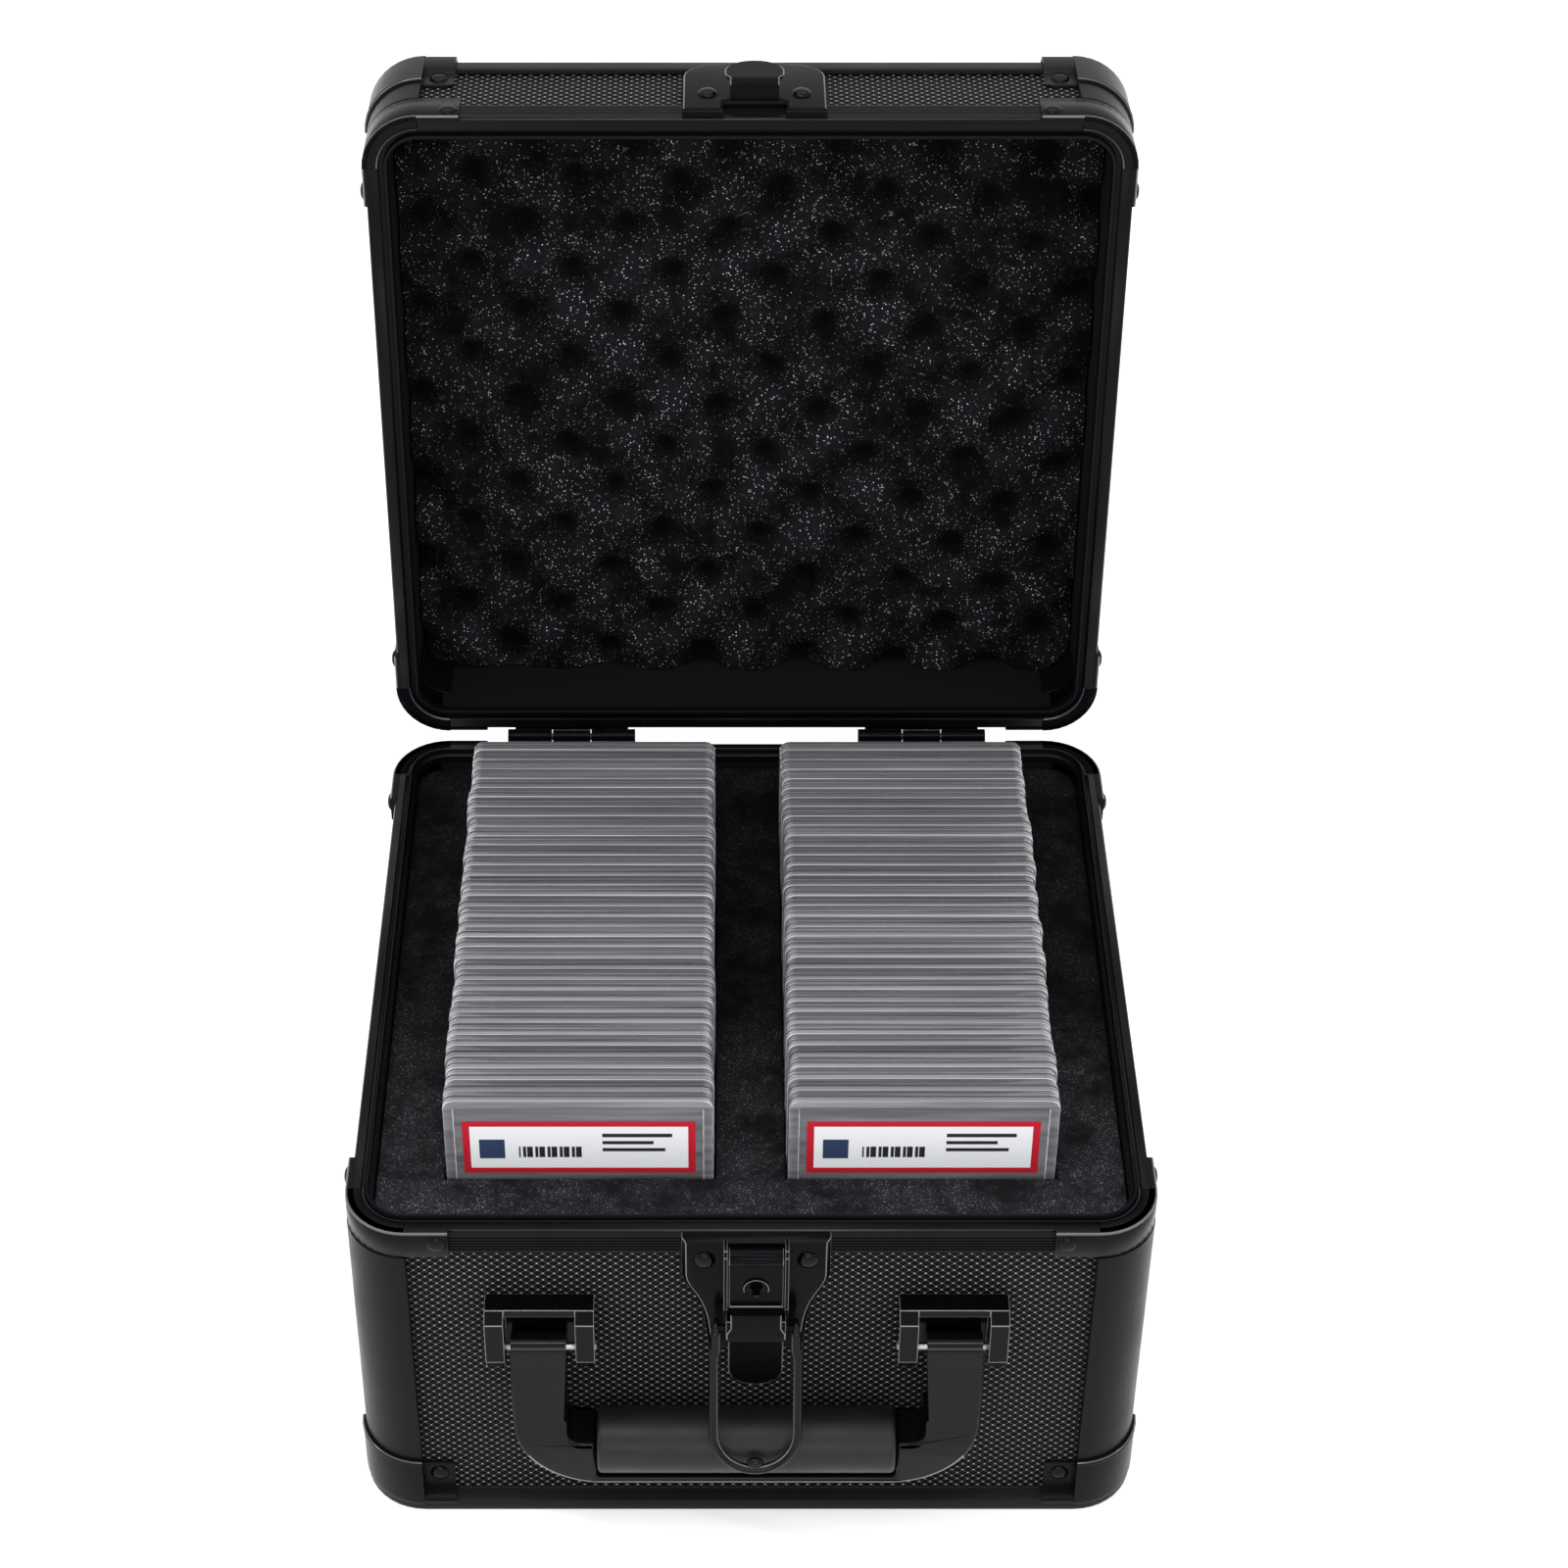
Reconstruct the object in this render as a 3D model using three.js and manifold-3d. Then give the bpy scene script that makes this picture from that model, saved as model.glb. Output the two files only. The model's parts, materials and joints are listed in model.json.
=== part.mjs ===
import * as THREE from 'three';
import { mergeVertices } from 'three/addons/utils/BufferGeometryUtils.js';
import Module from 'manifold-3d';

// Carrying case for two rows of graded card slabs, standing open as in the photograph.
// Millimetres, +Z up, the front with its latch and handle faces -Y, X = 0 is the middle of the case,
// Z = 0 is the floor under the bottom caps. The last lines move the open case so that Y = 0 is in the
// middle of it.
// The base and the lid are the same kind of shell: boards held in a rim frame, four corner posts and
// a rail frame, with pressed corner pieces riveted over the rim and caps over the outer corners.

// The closed case
const caseWidth = 240;
const caseDepth = 230;
const baseHeight = 127;
const lidHeight = 46.5;
const cornerRadius = 17;
const seamGap = 0.4;
const openAngle = 93.3;
const fit = 0.3;
const overrun = 20;

// Boards
const boardThickness = 4;
const boardRecess = 2.2;
const boardBite = 3;

// Rim frame, a section with a tongue on the base and a groove for it in the lid
const rimWidth = 6.6;
const rimHeight = 10;
const rimCrown = 3;
const rimLeg = 1.9;
const tongueWidth = 0.9;
const tongueHeight = 1.6;
const tongueInset = 4.5;

// Rail frame round the floor of each shell
const baseRailHeight = 14;
const lidRailHeight = 9;
const railSkin = 1.9;
const railFlange = 14;
const railRounding = 4;

// Corner posts
const postProud = 1.5;

// Pressed corner pieces of the rim
const clipSkin = 1.4;
const clipReach = 30;
const clipFlange = 0.7;
const baseClipHeight = 10;
const lidClipHeight = 13;
const clipRivetReach = 26.5;
const clipRivetDrop = 4.4;

// Corner caps
const capSkin = 1;
const capReach = 27;
const baseCapHeight = 25;
const lidCapHeight = 21;
const capRivetReach = 22;
const capRounding = 5;

// Rivet heads
const rivetRadius = 2.8;
const rivetHeight = 1.2;
const rivetShoulderShare = 0.9;
const rivetRiseShare = 0.7;

// Slabs: as many to a row as the depth takes, 35 here, the front one of each row on its own
const slabWidth = 81;
const slabHeight = 136;
const slabThickness = 4.6;
const slabPitch = 4.9;
const slabChamfer = 3;
const rowGap = 22.4;
const slabBed = 8.8;
const slabFront = 28;
const slabBack = 30;
const rowNotch = 42;

// Foam
const foamDrop = 6;
const slotClearance = 0.6;
const eggPitchAcross = 33.4;
const eggPitchAlong = 33.1;
const eggTurn = 3;
const eggWave = 4;
const eggMean = 31;
const eggPitX = 11.2;
const eggPitY = 38.2;

// Latch on the base front; "out" values are measured outwards from the rim face, "down" values from
// the top of the base, and the lever's "fall" values from its pivot
const latchX = 1.4;
const latchHalf = 22.2;
const latchFootDown = 50;
const latchFootHalf = 14;
const latchShoulderDown = 22;
const plateSkin = 1.5;
const plateSlope = 2.7;
const cheekInner = 8.5;
const cheekOuter = 9.7;
const cheekFall = 22.8;
const cheekRise = 4;
const cheekOut = 8.2;
const leverPivotOut = 5.2;
const leverPivotDown = 6;
const leverHalf = 8.2;
const leverBarrel = 2.9;
const leverSkin = 1.6;
const leverFace = 6.8;
const leverStep = 3.6;
const leverStepHighFall = 20;
const leverStepLowFall = 31.6;
const tongueEndFall = 56.5;
const tongueEndOut = 6.6;
const pinRadius = 1.2;
const lockRadius = 3.2;
const lockFall = 11.5;
const lockDepth = 4.6;
const keySlot = 1.8;
const keyRoundShare = 0.8;
const keySlotShare = 0.8;
const latchRivetX = 15;
const latchRivetDown = 11;

// Wire bail, hung from a pin through the lever
const bailPinOut = 8;
const bailPinFall = 28;
const bailWire = 1.45;
const bailHalf = 12.75;
const bailNeck = 10.9;
const bailNeckLength = 9;
const bailLength = 52.5;
const bailEnd = 13;
const bailHang = 19.9;
const bailEye = 2.5;
const bailEyeWidth = 2.4;
const bailStartShare = 0.8;
const leverWallInner = 6.6;
const leverWallOuter = 9;

// Keeper on the lid front; "up" values are measured from the lid's rim plane
const keeperHalf = 22.4;
const keeperTop = 39.6;
const keeperShoulder = 29.5;
const keeperSide = 36.6;
const keeperBend = 5.8;
const keeperGapHalf = 9.6;
const hookRootHalf = 8.1;
const hookHalf = 9.25;
const hookRoot = 7.8;
const hookSkin = 1.6;
const hookOut = 10.2;
const hookTip = 22;
const hookRound = 11.5;
const keeperRivetX = 14.6;
const keeperRivetUp = 15.5;

// Handle; "rise" and "fall" values are measured from its pivot
const handleX = -1.3;
const handlePivotOut = 4.6;
const handlePivotDown = 46;
const bracketInner = 51.7;
const bracketOuter = 79;
const bracketRise = 16.3;
const bracketFall = 9;
const bracketOut = 8.3;
const bracketHood = 5;
const bracketEar = 5.8;
const bracketPlate = 1.1;
const bracketHoodSkin = 3;
const armInner = 54.6;
const armOuter = 71.4;
const armBarrel = 4.6;
const frameFall = 54.7;
const frameCorner = 27;
const frameBand = 3;
const frameBack = 1.5;
const frameFront = 17;
const gripHalf = 45.8;
const gripRadius = 11.9;
const gripOut = 10.3;
const gripFall = 38.8;
const gripCore = 7;

// Hinges
const hingeOut = 3.25;
const hingeInset = 59.2;
const hingeWidth = 44.2;
const hingeEar = 2.2;
const hingeBarrel = 2.7;
const knuckleShare = 1 / 6;
const hingeSkin = 1.3;
const hingeDrop = 27;
const lidHingeDrop = 24;
const hingeRivetX = 15;
const hingeRivetDrop = 20;

// Fineness of the faceted solids
const arcSteps = 3;
const roundSteps = 12;
const smallSteps = 8;
const bevelSteps = 2;
const bailSteps = 28;
const bailArcSteps = 7;
const wireSides = 6;
const eggSteps = 3;

const frontFace = -caseDepth / 2;
const backFace = caseDepth / 2;
const boardInner = boardRecess + boardThickness;
const lidPlane = baseHeight + seamGap;
const hingeHeight = baseHeight + seamGap / 2;
const boreRadius = pinRadius + fit;
const capGap = capSkin + fit;
const slabCount = Math.floor((caseDepth - slabFront - slabBack) / slabPitch);
const slabCentre = (slabWidth + rowGap) / 2;
const latchFoot = baseHeight - latchFootDown;
const latchShoulder = baseHeight - latchShoulderDown;
const latchRivetHeight = baseHeight - latchRivetDown;
const leverPivotHeight = baseHeight - leverPivotDown;
const cheekLow = leverPivotHeight - cheekFall;
const cheekHigh = leverPivotHeight + cheekRise;
const leverStepHigh = leverPivotHeight - leverStepHighFall;
const leverStepLow = leverPivotHeight - leverStepLowFall;
const tongueEnd = leverPivotHeight - tongueEndFall;
const lockHeight = leverPivotHeight - lockFall;
const bailPinHeight = leverPivotHeight - bailPinFall;
const handlePivotHeight = baseHeight - handlePivotDown;
const bracketTop = handlePivotHeight + bracketRise;
const bracketLow = handlePivotHeight - bracketFall;
const frameLow = handlePivotHeight - frameFall;
const gripHeight = handlePivotHeight - gripFall;
const hingeCentre = caseWidth / 2 - hingeInset;

const wasm = await Module();
wasm.setup();

// Turns a closed three.js geometry into a solid that can be joined and cut
function solidOf(geometry) {
  const bare = geometry.clone();
  bare.deleteAttribute('normal');
  bare.deleteAttribute('uv');
  const merged = mergeVertices(bare);
  const vertProperties = Float32Array.from(merged.attributes.position.array);
  const triVerts = Uint32Array.from(merged.index.array);
  return new wasm.Manifold(new wasm.Mesh({ numProp: 3, vertProperties, triVerts }));
}

function geometryOf(solid) {
  const mesh = solid.getMesh();
  const geometry = new THREE.BufferGeometry();
  geometry.setAttribute('position', new THREE.BufferAttribute(mesh.vertProperties, 3));
  geometry.setIndex(new THREE.BufferAttribute(mesh.triVerts, 1));
  geometry.computeVertexNormals();
  return geometry;
}

function join(...solids) {
  return solids.reduce((all, solid) => all.add(solid));
}

function cut(solid, ...tools) {
  return tools.reduce((left, tool) => left.subtract(tool), solid);
}

function polygon(points) {
  return new THREE.Shape(points.map(([a, b]) => new THREE.Vector2(a, b)));
}

function box(x0, x1, y0, y1, z0, z1) {
  const geometry = new THREE.BoxGeometry(x1 - x0, y1 - y0, z1 - z0);
  geometry.translate((x0 + x1) / 2, (y0 + y1) / 2, (z0 + z1) / 2);
  return solidOf(geometry);
}

// A plan outline drawn up from z0 to z1
function upright(shape, z0, z1) {
  const geometry = new THREE.ExtrudeGeometry(shape, {
    depth: z1 - z0, bevelEnabled: false, curveSegments: arcSteps,
  });
  geometry.translate(0, 0, z0);
  return solidOf(geometry);
}

// A front view outline (x, z) drawn back from y0 to y1
function depthwise(shape, y0, y1, steps = arcSteps) {
  const geometry = new THREE.ExtrudeGeometry(shape, {
    depth: y1 - y0, bevelEnabled: false, curveSegments: steps,
  });
  geometry.rotateX(Math.PI / 2);
  geometry.translate(0, y1, 0);
  return solidOf(geometry);
}

// A side view outline (y, z) drawn across from x0 to x1
function sideways(shape, x0, x1, steps = smallSteps) {
  const geometry = new THREE.ExtrudeGeometry(shape, {
    depth: x1 - x0, bevelEnabled: false, curveSegments: steps,
  });
  const turn = new THREE.Matrix4().makeBasis(
    new THREE.Vector3(0, 1, 0), new THREE.Vector3(0, 0, 1), new THREE.Vector3(1, 0, 0));
  geometry.applyMatrix4(turn);
  geometry.translate(x0, 0, 0);
  return solidOf(geometry);
}

function disc(centreY, centreZ, radius) {
  return new THREE.Shape().absarc(centreY, centreZ, radius, 0, Math.PI * 2);
}

// Rod along X
function rod(radius, x0, x1, y, z, steps = smallSteps) {
  const geometry = new THREE.CylinderGeometry(radius, radius, x1 - x0, steps);
  geometry.rotateZ(Math.PI / 2);
  geometry.translate((x0 + x1) / 2, y, z);
  return solidOf(geometry);
}

// Low domed rivet head; its foot is sunk into the sheet that it holds
function rivet(x, y, z, direction, sunk) {
  const profile = [
    [0, -sunk], [rivetRadius, -sunk],
    [rivetRadius * rivetShoulderShare, rivetHeight * rivetRiseShare], [0, rivetHeight]];
  const points = profile.map(([radius, rise]) => new THREE.Vector2(radius, rise));
  const geometry = new THREE.LatheGeometry(points, smallSteps);
  const aim = new THREE.Quaternion().setFromUnitVectors(new THREE.Vector3(0, 1, 0), direction);
  geometry.applyQuaternion(aim);
  geometry.translate(x, y, z);
  return solidOf(geometry);
}

// Plan outline of the case, moved in by an inset
function plan(inset) {
  const x = caseWidth / 2 - inset;
  const y = caseDepth / 2 - inset;
  const r = cornerRadius - inset;
  const quarter = Math.PI / 2;
  const shape = new THREE.Shape();
  shape.absarc(x - r, y - r, r, 0, quarter);
  shape.absarc(r - x, y - r, r, quarter, 2 * quarter);
  shape.absarc(r - x, r - y, r, 2 * quarter, 3 * quarter);
  shape.absarc(x - r, r - y, r, 3 * quarter, 4 * quarter);
  return shape;
}

// The whole plan, moved in by an inset, from z0 to z1, with a rounded lower edge where asked
function block(inset, z0, z1, rounding = 0) {
  if (rounding === 0) {
    return upright(plan(inset), z0, z1);
  }
  const geometry = new THREE.ExtrudeGeometry(plan(inset + rounding), {
    depth: z1 - z0, bevelThickness: rounding, bevelSize: rounding, bevelSegments: bevelSteps,
    curveSegments: arcSteps,
  });
  geometry.translate(0, 0, z0 + rounding);
  const reach = caseWidth + overrun;
  return solidOf(geometry).intersect(box(-reach, reach, -reach, reach, z0 - overrun, z1));
}

// The space of one corner, up to a reach along both sides
function cornerSpace(signX, signY, reach, z0, z1) {
  const xs = [signX * (caseWidth / 2 - reach), signX * (caseWidth / 2 + overrun)].sort((a, b) => a - b);
  const ys = [signY * (caseDepth / 2 - reach), signY * (caseDepth / 2 + overrun)].sort((a, b) => a - b);
  return box(xs[0], xs[1], ys[0], ys[1], z0, z1);
}

function material(color, roughness, metalness) {
  return new THREE.MeshStandardMaterial({ color, roughness, metalness });
}

const blackFrame = material(0x1b1b1d, 0.32, 0.7);
const blackBoard = material(0x17171a, 0.5, 0.3);
const blackCorner = material(0x202023, 0.28, 0.7);
const darkPressing = material(0x1e1e21, 0.25, 0.8);
const blackPlastic = material(0x111113, 0.3, 0);
const matteGrip = material(0x1c1c1e, 0.75, 0);
const blackFoam = material(0x131316, 0.95, 0);
const clearSlab = material(0xaeb4ba, 0.2, 0);

const caseGroup = new THREE.Group();

function piece(group, name, solid, finish) {
  const mesh = new THREE.Mesh(solid.isBufferGeometry ? solid : geometryOf(solid), finish);
  mesh.name = name;
  group.add(mesh);
}

// A shell with its floor at z = 0 and its rim plane at the top; sides are named by their sign in Y
function makeShell(group, name, height, railHeight, clipHeight, capHeight, hasTongue, sideNames) {
  const high = height + overrun;
  const railLow = capGap;
  const railHigh = railLow + railHeight;
  const boardLow = railLow + railSkin + fit;
  const boardHigh = height - rimCrown - fit;
  const sideX = caseWidth / 2;
  const sideY = caseDepth / 2;

  // Boards: one floor and four walls, their ends held behind the corner posts
  const endX = sideX - cornerRadius + boardBite;
  const endY = sideY - cornerRadius + boardBite;
  const floorBoard = block(boardInner + fit, boardLow, boardLow + boardThickness);
  piece(group, `${name}_floor_board`, floorBoard, blackBoard);
  const withinLeg = block(railSkin + fit, 0, high);
  for (const [sign, side] of [[-1, sideNames[0]], [1, sideNames[1]]]) {
    const ys = [sign * (sideY - boardRecess), sign * (sideY - boardInner)].sort((a, b) => a - b);
    const endWall = box(-endX, endX, ys[0], ys[1], boardLow, boardHigh);
    piece(group, `${name}_${side}_board`, endWall.intersect(withinLeg), blackBoard);
    const xs = [sign * (sideX - boardRecess), sign * (sideX - boardInner)].sort((a, b) => a - b);
    const wing = sign < 0 ? 'left' : 'right';
    const sideWall = box(xs[0], xs[1], -endY, endY, boardLow, boardHigh);
    piece(group, `${name}_${wing}_board`, sideWall.intersect(withinLeg), blackBoard);
  }
  const wallSpace = join(
    box(-endX - fit, endX + fit, -sideY + boardRecess - fit, -sideY + boardInner + fit, 0, high),
    box(-endX - fit, endX + fit, sideY - boardInner - fit, sideY - boardRecess + fit, 0, high),
    box(-sideX + boardRecess - fit, -sideX + boardInner + fit, -endY - fit, endY + fit, 0, high),
    box(sideX - boardInner - fit, sideX - boardRecess + fit, -endY - fit, endY + fit, 0, high));

  // Rail frame: rounded outer corner, a leg outside the walls and a flange under the floor
  const rail = cut(
    block(0, railLow, railHigh, railRounding),
    block(railSkin, railLow + railSkin, high),
    block(railFlange, 0, high));
  piece(group, `${name}_rail_frame`, rail, blackFrame);

  // Rim frame: crown over the walls, leg outside them, tongue or groove on the crown
  const crown = cut(block(0, height - rimCrown, height), block(rimWidth, 0, high));
  const leg = cut(block(0, height - rimHeight, height - rimCrown / 2), block(rimLeg, 0, high));
  let rim = join(crown, leg);
  if (hasTongue) {
    const tongue = cut(
      block(tongueInset, height - rimCrown / 2, height + tongueHeight),
      block(tongueInset + tongueWidth, 0, high));
    rim = join(rim, tongue);
  } else {
    const groove = cut(
      block(tongueInset - fit, height - tongueHeight - fit, high),
      block(tongueInset + tongueWidth + fit, 0, high));
    rim = cut(rim, groove);
  }
  const seat = clipFlange + fit;
  const flangeInner = tongueInset - fit - fit;
  for (const signX of [-1, 1]) {
    for (const signY of [-1, 1]) {
      const recess = cut(block(-overrun, height - seat, high), block(flangeInner, 0, high));
      const corner = cornerSpace(signX, signY, cornerRadius + fit, 0, high);
      rim = cut(rim, recess.intersect(corner));
    }
  }
  piece(group, `${name}_rim_frame`, rim, blackFrame);

  for (const signX of [-1, 1]) {
    for (const signY of [-1, 1]) {
      const place = `${signY < 0 ? sideNames[0] : sideNames[1]}_${signX < 0 ? 'left' : 'right'}`;
      const outX = new THREE.Vector3(signX, 0, 0);
      const outY = new THREE.Vector3(0, signY, 0);
      const cornerOnly = cornerSpace(signX, signY, cornerRadius, 0, high);

      // Corner post between the rail and the pressed corner, slotted for the walls
      const postHigh = height - clipHeight - fit;
      const post = cut(
        block(-postProud, railHigh + fit, postHigh),
        block(boardInner, 0, high), wallSpace);
      piece(group, `${name}_${place}_post`, post.intersect(cornerOnly), blackFrame);

      // Pressed corner over the rim: a skirt outside and a flange on the rim plane
      const skirt = cut(block(-clipSkin - fit, height - clipHeight, height), block(-fit, 0, high));
      const arms = skirt.intersect(cornerSpace(signX, signY, clipReach, 0, high));
      const flange = cut(
        block(-clipSkin - fit, height - clipFlange, height), block(flangeInner - fit, 0, high));
      const clipRivetZ = height - clipRivetDrop;
      const clipFaceX = signX * (sideX + fit + clipSkin);
      const clipFaceY = signY * (sideY + fit + clipSkin);
      const clip = join(
        arms, flange.intersect(cornerOnly),
        rivet(signX * (sideX - clipRivetReach), clipFaceY, clipRivetZ, outY, clipSkin / 2),
        rivet(clipFaceX, signY * (sideY - clipRivetReach), clipRivetZ, outX, clipSkin / 2));
      piece(group, `${name}_${place}_rim_corner`, clip, blackCorner);

      // Cap: over the post, round the rail, and flat on the boards where it is riveted
      const capOuter = postProud + fit + capSkin;
      const armHigh = capHeight - capGap;
      const armFace = boardRecess - fit - capSkin;
      const shellSolid = join(
        block(-capOuter, 0, capHeight, capRounding).intersect(cornerOnly),
        block(-capGap, 0, railHigh + capGap, capRounding)
          .intersect(cornerSpace(signX, signY, capReach, 0, high)),
        block(armFace, 0, armHigh).intersect(cornerSpace(signX, signY, capReach, 0, high)));
      const postRoom = block(-postProud - fit, capSkin, high, railRounding)
        .intersect(cornerSpace(signX, signY, cornerRadius + fit, 0, high));
      const railRoom = block(-fit, capSkin, railHigh + fit, railRounding);
      const boardRoom = block(boardRecess - fit, capSkin, high);
      const capRivetZ = (railHigh + capGap + armHigh) / 2;
      const cap = join(
        cut(shellSolid, postRoom, railRoom, boardRoom),
        rivet(signX * (sideX - capRivetReach), signY * (sideY - armFace), capRivetZ, outY, capSkin / 2),
        rivet(signX * (sideX - armFace), signY * (sideY - capRivetReach), capRivetZ, outX, capSkin / 2));
      piece(group, `${name}_${place}_cap`, cap, blackCorner);
    }
  }
}

makeShell(caseGroup, 'base', baseHeight, baseRailHeight, baseClipHeight, baseCapHeight, true,
  ['front', 'back']);

// Lid: everything in it is drawn as closed, then the whole lid is turned open about the hinge pins
const lidTurn = new THREE.Group();
lidTurn.position.set(0, backFace + hingeOut, hingeHeight);
lidTurn.rotation.x = -THREE.MathUtils.degToRad(openAngle);
const lidClosed = new THREE.Group();
lidClosed.position.set(0, -backFace - hingeOut, -hingeHeight);
lidTurn.add(lidClosed);
caseGroup.add(lidTurn);

const lidShell = new THREE.Group();
lidShell.rotation.x = Math.PI;
lidShell.position.z = lidPlane + lidHeight;
lidClosed.add(lidShell);
makeShell(lidShell, 'lid', lidHeight, lidRailHeight, lidClipHeight, lidCapHeight, false,
  ['back', 'front']);

// Base foam: one block with two slots, standing on the floor board
const foamLow = capGap + railSkin + fit + boardThickness + fit;
const foamHigh = baseHeight - foamDrop;
const slabLow = foamLow + slabBed;
const slabTop = slabLow + slabHeight;
const rowBack = frontFace + slabFront + slabCount * slabPitch;
function slot(signX) {
  const half = slabWidth / 2 + slotClearance;
  const centre = signX * slabCentre;
  return box(centre - half, centre + half, frontFace + slabFront - slotClearance, rowBack + slotClearance,
    slabLow - fit, slabTop);
}
const foamInsert = cut(block(rimWidth + fit, foamLow, foamHigh), slot(-1), slot(1));
piece(caseGroup, 'base_foam_insert', foamInsert, blackFoam);

// Slabs: an upright plate with chamfered upper corners, seen from the front
function slabOutline(signX) {
  const half = slabWidth / 2;
  const centre = signX * slabCentre;
  return polygon([
    [centre - half, slabLow], [centre + half, slabLow],
    [centre + half, slabTop - slabChamfer], [centre + half - slabChamfer, slabTop],
    [centre - half + slabChamfer, slabTop], [centre - half, slabTop - slabChamfer]]);
}

// The other slabs of a row, notched apart from above and still joined deep in the foam
function rowComb() {
  const points = [];
  for (let index = 1; index < slabCount; index += 1) {
    const near = frontFace + slabFront + index * slabPitch;
    if (index > 1) {
      points.push([near, slabTop - rowNotch]);
    }
    points.push([near, slabTop], [near + slabThickness, slabTop]);
    if (index < slabCount - 1) {
      points.push([near + slabThickness, slabTop - rowNotch]);
    }
  }
  points.push([rowBack - slabPitch + slabThickness, slabLow], [frontFace + slabFront + slabPitch, slabLow]);
  return polygon(points);
}
for (const [signX, side] of [[-1, 'left'], [1, 'right']]) {
  const near = frontFace + slabFront;
  const front = depthwise(slabOutline(signX), near, near + slabThickness);
  piece(caseGroup, `front_slab_${side}`, front, clearSlab);
  const reach = slabCentre + slabWidth;
  const row = sideways(rowComb(), -reach, reach).intersect(depthwise(slabOutline(signX), near, rowBack));
  piece(caseGroup, `slab_row_${side}`, row, clearSlab);
}

// Egg-crate foam glued inside the lid's top board
function eggCrate() {
  const halfX = caseWidth / 2 - rimWidth - fit;
  const halfY = caseDepth / 2 - rimWidth - fit;
  const backUp = lidHeight - capGap - railSkin - fit - boardThickness - fit;
  const countX = Math.round(2 * halfX / eggPitchAcross * eggSteps);
  const countY = Math.round(2 * halfY / eggPitchAlong * eggSteps);
  const positions = [];
  const faces = [];
  const cornerCut = cornerRadius - rimWidth - fit;
  const turn = THREE.MathUtils.degToRad(eggTurn);
  // Corner points are drawn in onto the rounded plan
  const inPlan = (x, y) => {
    const overX = Math.abs(x) - (halfX - cornerCut);
    const overY = Math.abs(y) - (halfY - cornerCut);
    if (overX <= 0 || overY <= 0) {
      return [x, y];
    }
    const reach = Math.max(overX, overY) / Math.hypot(overX, overY);
    return [Math.sign(x) * (halfX - cornerCut + overX * reach),
      Math.sign(y) * (halfY - cornerCut + overY * reach)];
  };
  for (const layer of [0, 1]) {
    for (let row = 0; row <= countY; row += 1) {
      for (let column = 0; column <= countX; column += 1) {
        const [x, y] = inPlan(
          -halfX + 2 * halfX * column / countX, -halfY + 2 * halfY * row / countY);
        const fromPitX = x - eggPitX;
        const fromPitY = y - frontFace - eggPitY;
        const across = fromPitX * Math.cos(turn) + fromPitY * Math.sin(turn);
        const along = fromPitY * Math.cos(turn) - fromPitX * Math.sin(turn);
        const phaseX = 2 * Math.PI * across / eggPitchAcross;
        const phaseY = 2 * Math.PI * along / eggPitchAlong;
        const up = eggMean + eggWave * Math.cos(phaseX) * Math.cos(phaseY);
        positions.push(x, y, lidPlane + (layer === 0 ? up : backUp));
      }
    }
  }
  const line = countX + 1;
  const sheet = line * (countY + 1);
  const quad = (a, b, c, d) => faces.push(a, b, c, a, c, d);
  for (let row = 0; row < countY; row += 1) {
    for (let column = 0; column < countX; column += 1) {
      const a = row * line + column;
      quad(a, a + line, a + line + 1, a + 1);
    }
  }
  const columns = Array.from({ length: countX }, (unused, index) => index);
  const rows = Array.from({ length: countY }, (unused, index) => index);
  const edge = [
    ...columns,
    ...rows.map((row) => row * line + countX),
    ...columns.map((column) => countY * line + countX - column),
    ...rows.map((row) => (countY - row) * line)];
  edge.forEach((a, index) => {
    const b = edge[(index + 1) % edge.length];
    quad(a, b, b + sheet, a + sheet);
  });
  for (let index = 1; index < edge.length - 1; index += 1) {
    faces.push(edge[0] + sheet, edge[index] + sheet, edge[index + 1] + sheet);
  }
  const geometry = new THREE.BufferGeometry();
  geometry.setAttribute('position', new THREE.Float32BufferAttribute(positions, 3));
  geometry.setIndex(faces);
  return solidOf(geometry);
}
piece(lidClosed, 'lid_egg_crate_foam', eggCrate(), blackFoam);

// A point of a side view outline, by its distance outwards from the front rim face
function ahead(out, z) {
  return [frontFace - out, z];
}

// Latch plate: a pressed tray with a sloped top edge, two cheeks for the lever and two rivets
const plateFace = fit + plateSkin;
const rimLow = baseHeight - rimHeight;
const outward = new THREE.Vector3(0, -1, 0);
function latchOutline(top) {
  const shape = new THREE.Shape();
  const waist = (latchShoulder + latchFoot) / 2;
  shape.moveTo(latchX - latchHalf, top);
  shape.lineTo(latchX - latchHalf, latchShoulder);
  shape.bezierCurveTo(latchX - latchHalf, waist, latchX - latchFootHalf, waist,
    latchX - latchFootHalf, latchFoot);
  shape.lineTo(latchX + latchFootHalf, latchFoot);
  shape.bezierCurveTo(latchX + latchFootHalf, waist, latchX + latchHalf, waist,
    latchX + latchHalf, latchShoulder);
  shape.lineTo(latchX + latchHalf, top);
  return shape;
}
const slopeCut = sideways(polygon([
  ahead(plateFace, baseHeight - plateSlope), ahead(plateFace + overrun, baseHeight - plateSlope),
  ahead(plateFace + overrun, baseHeight + overrun), ahead(fit, baseHeight + overrun),
  ahead(fit, baseHeight - fit)]), -latchHalf * 2, latchHalf * 2);
function cheek(x0, x1) {
  const corner = cheekOut - leverPivotOut;
  return sideways(polygon([
    ahead(plateFace / 2, cheekLow), ahead(cheekOut - corner / 2, cheekLow),
    ahead(cheekOut, cheekLow + corner), ahead(cheekOut, cheekHigh - corner / 2),
    ahead(cheekOut - corner / 2, cheekHigh), ahead(plateFace / 2, cheekHigh)]), x0, x1);
}
const boardFaceOut = -boardRecess + fit;
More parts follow.
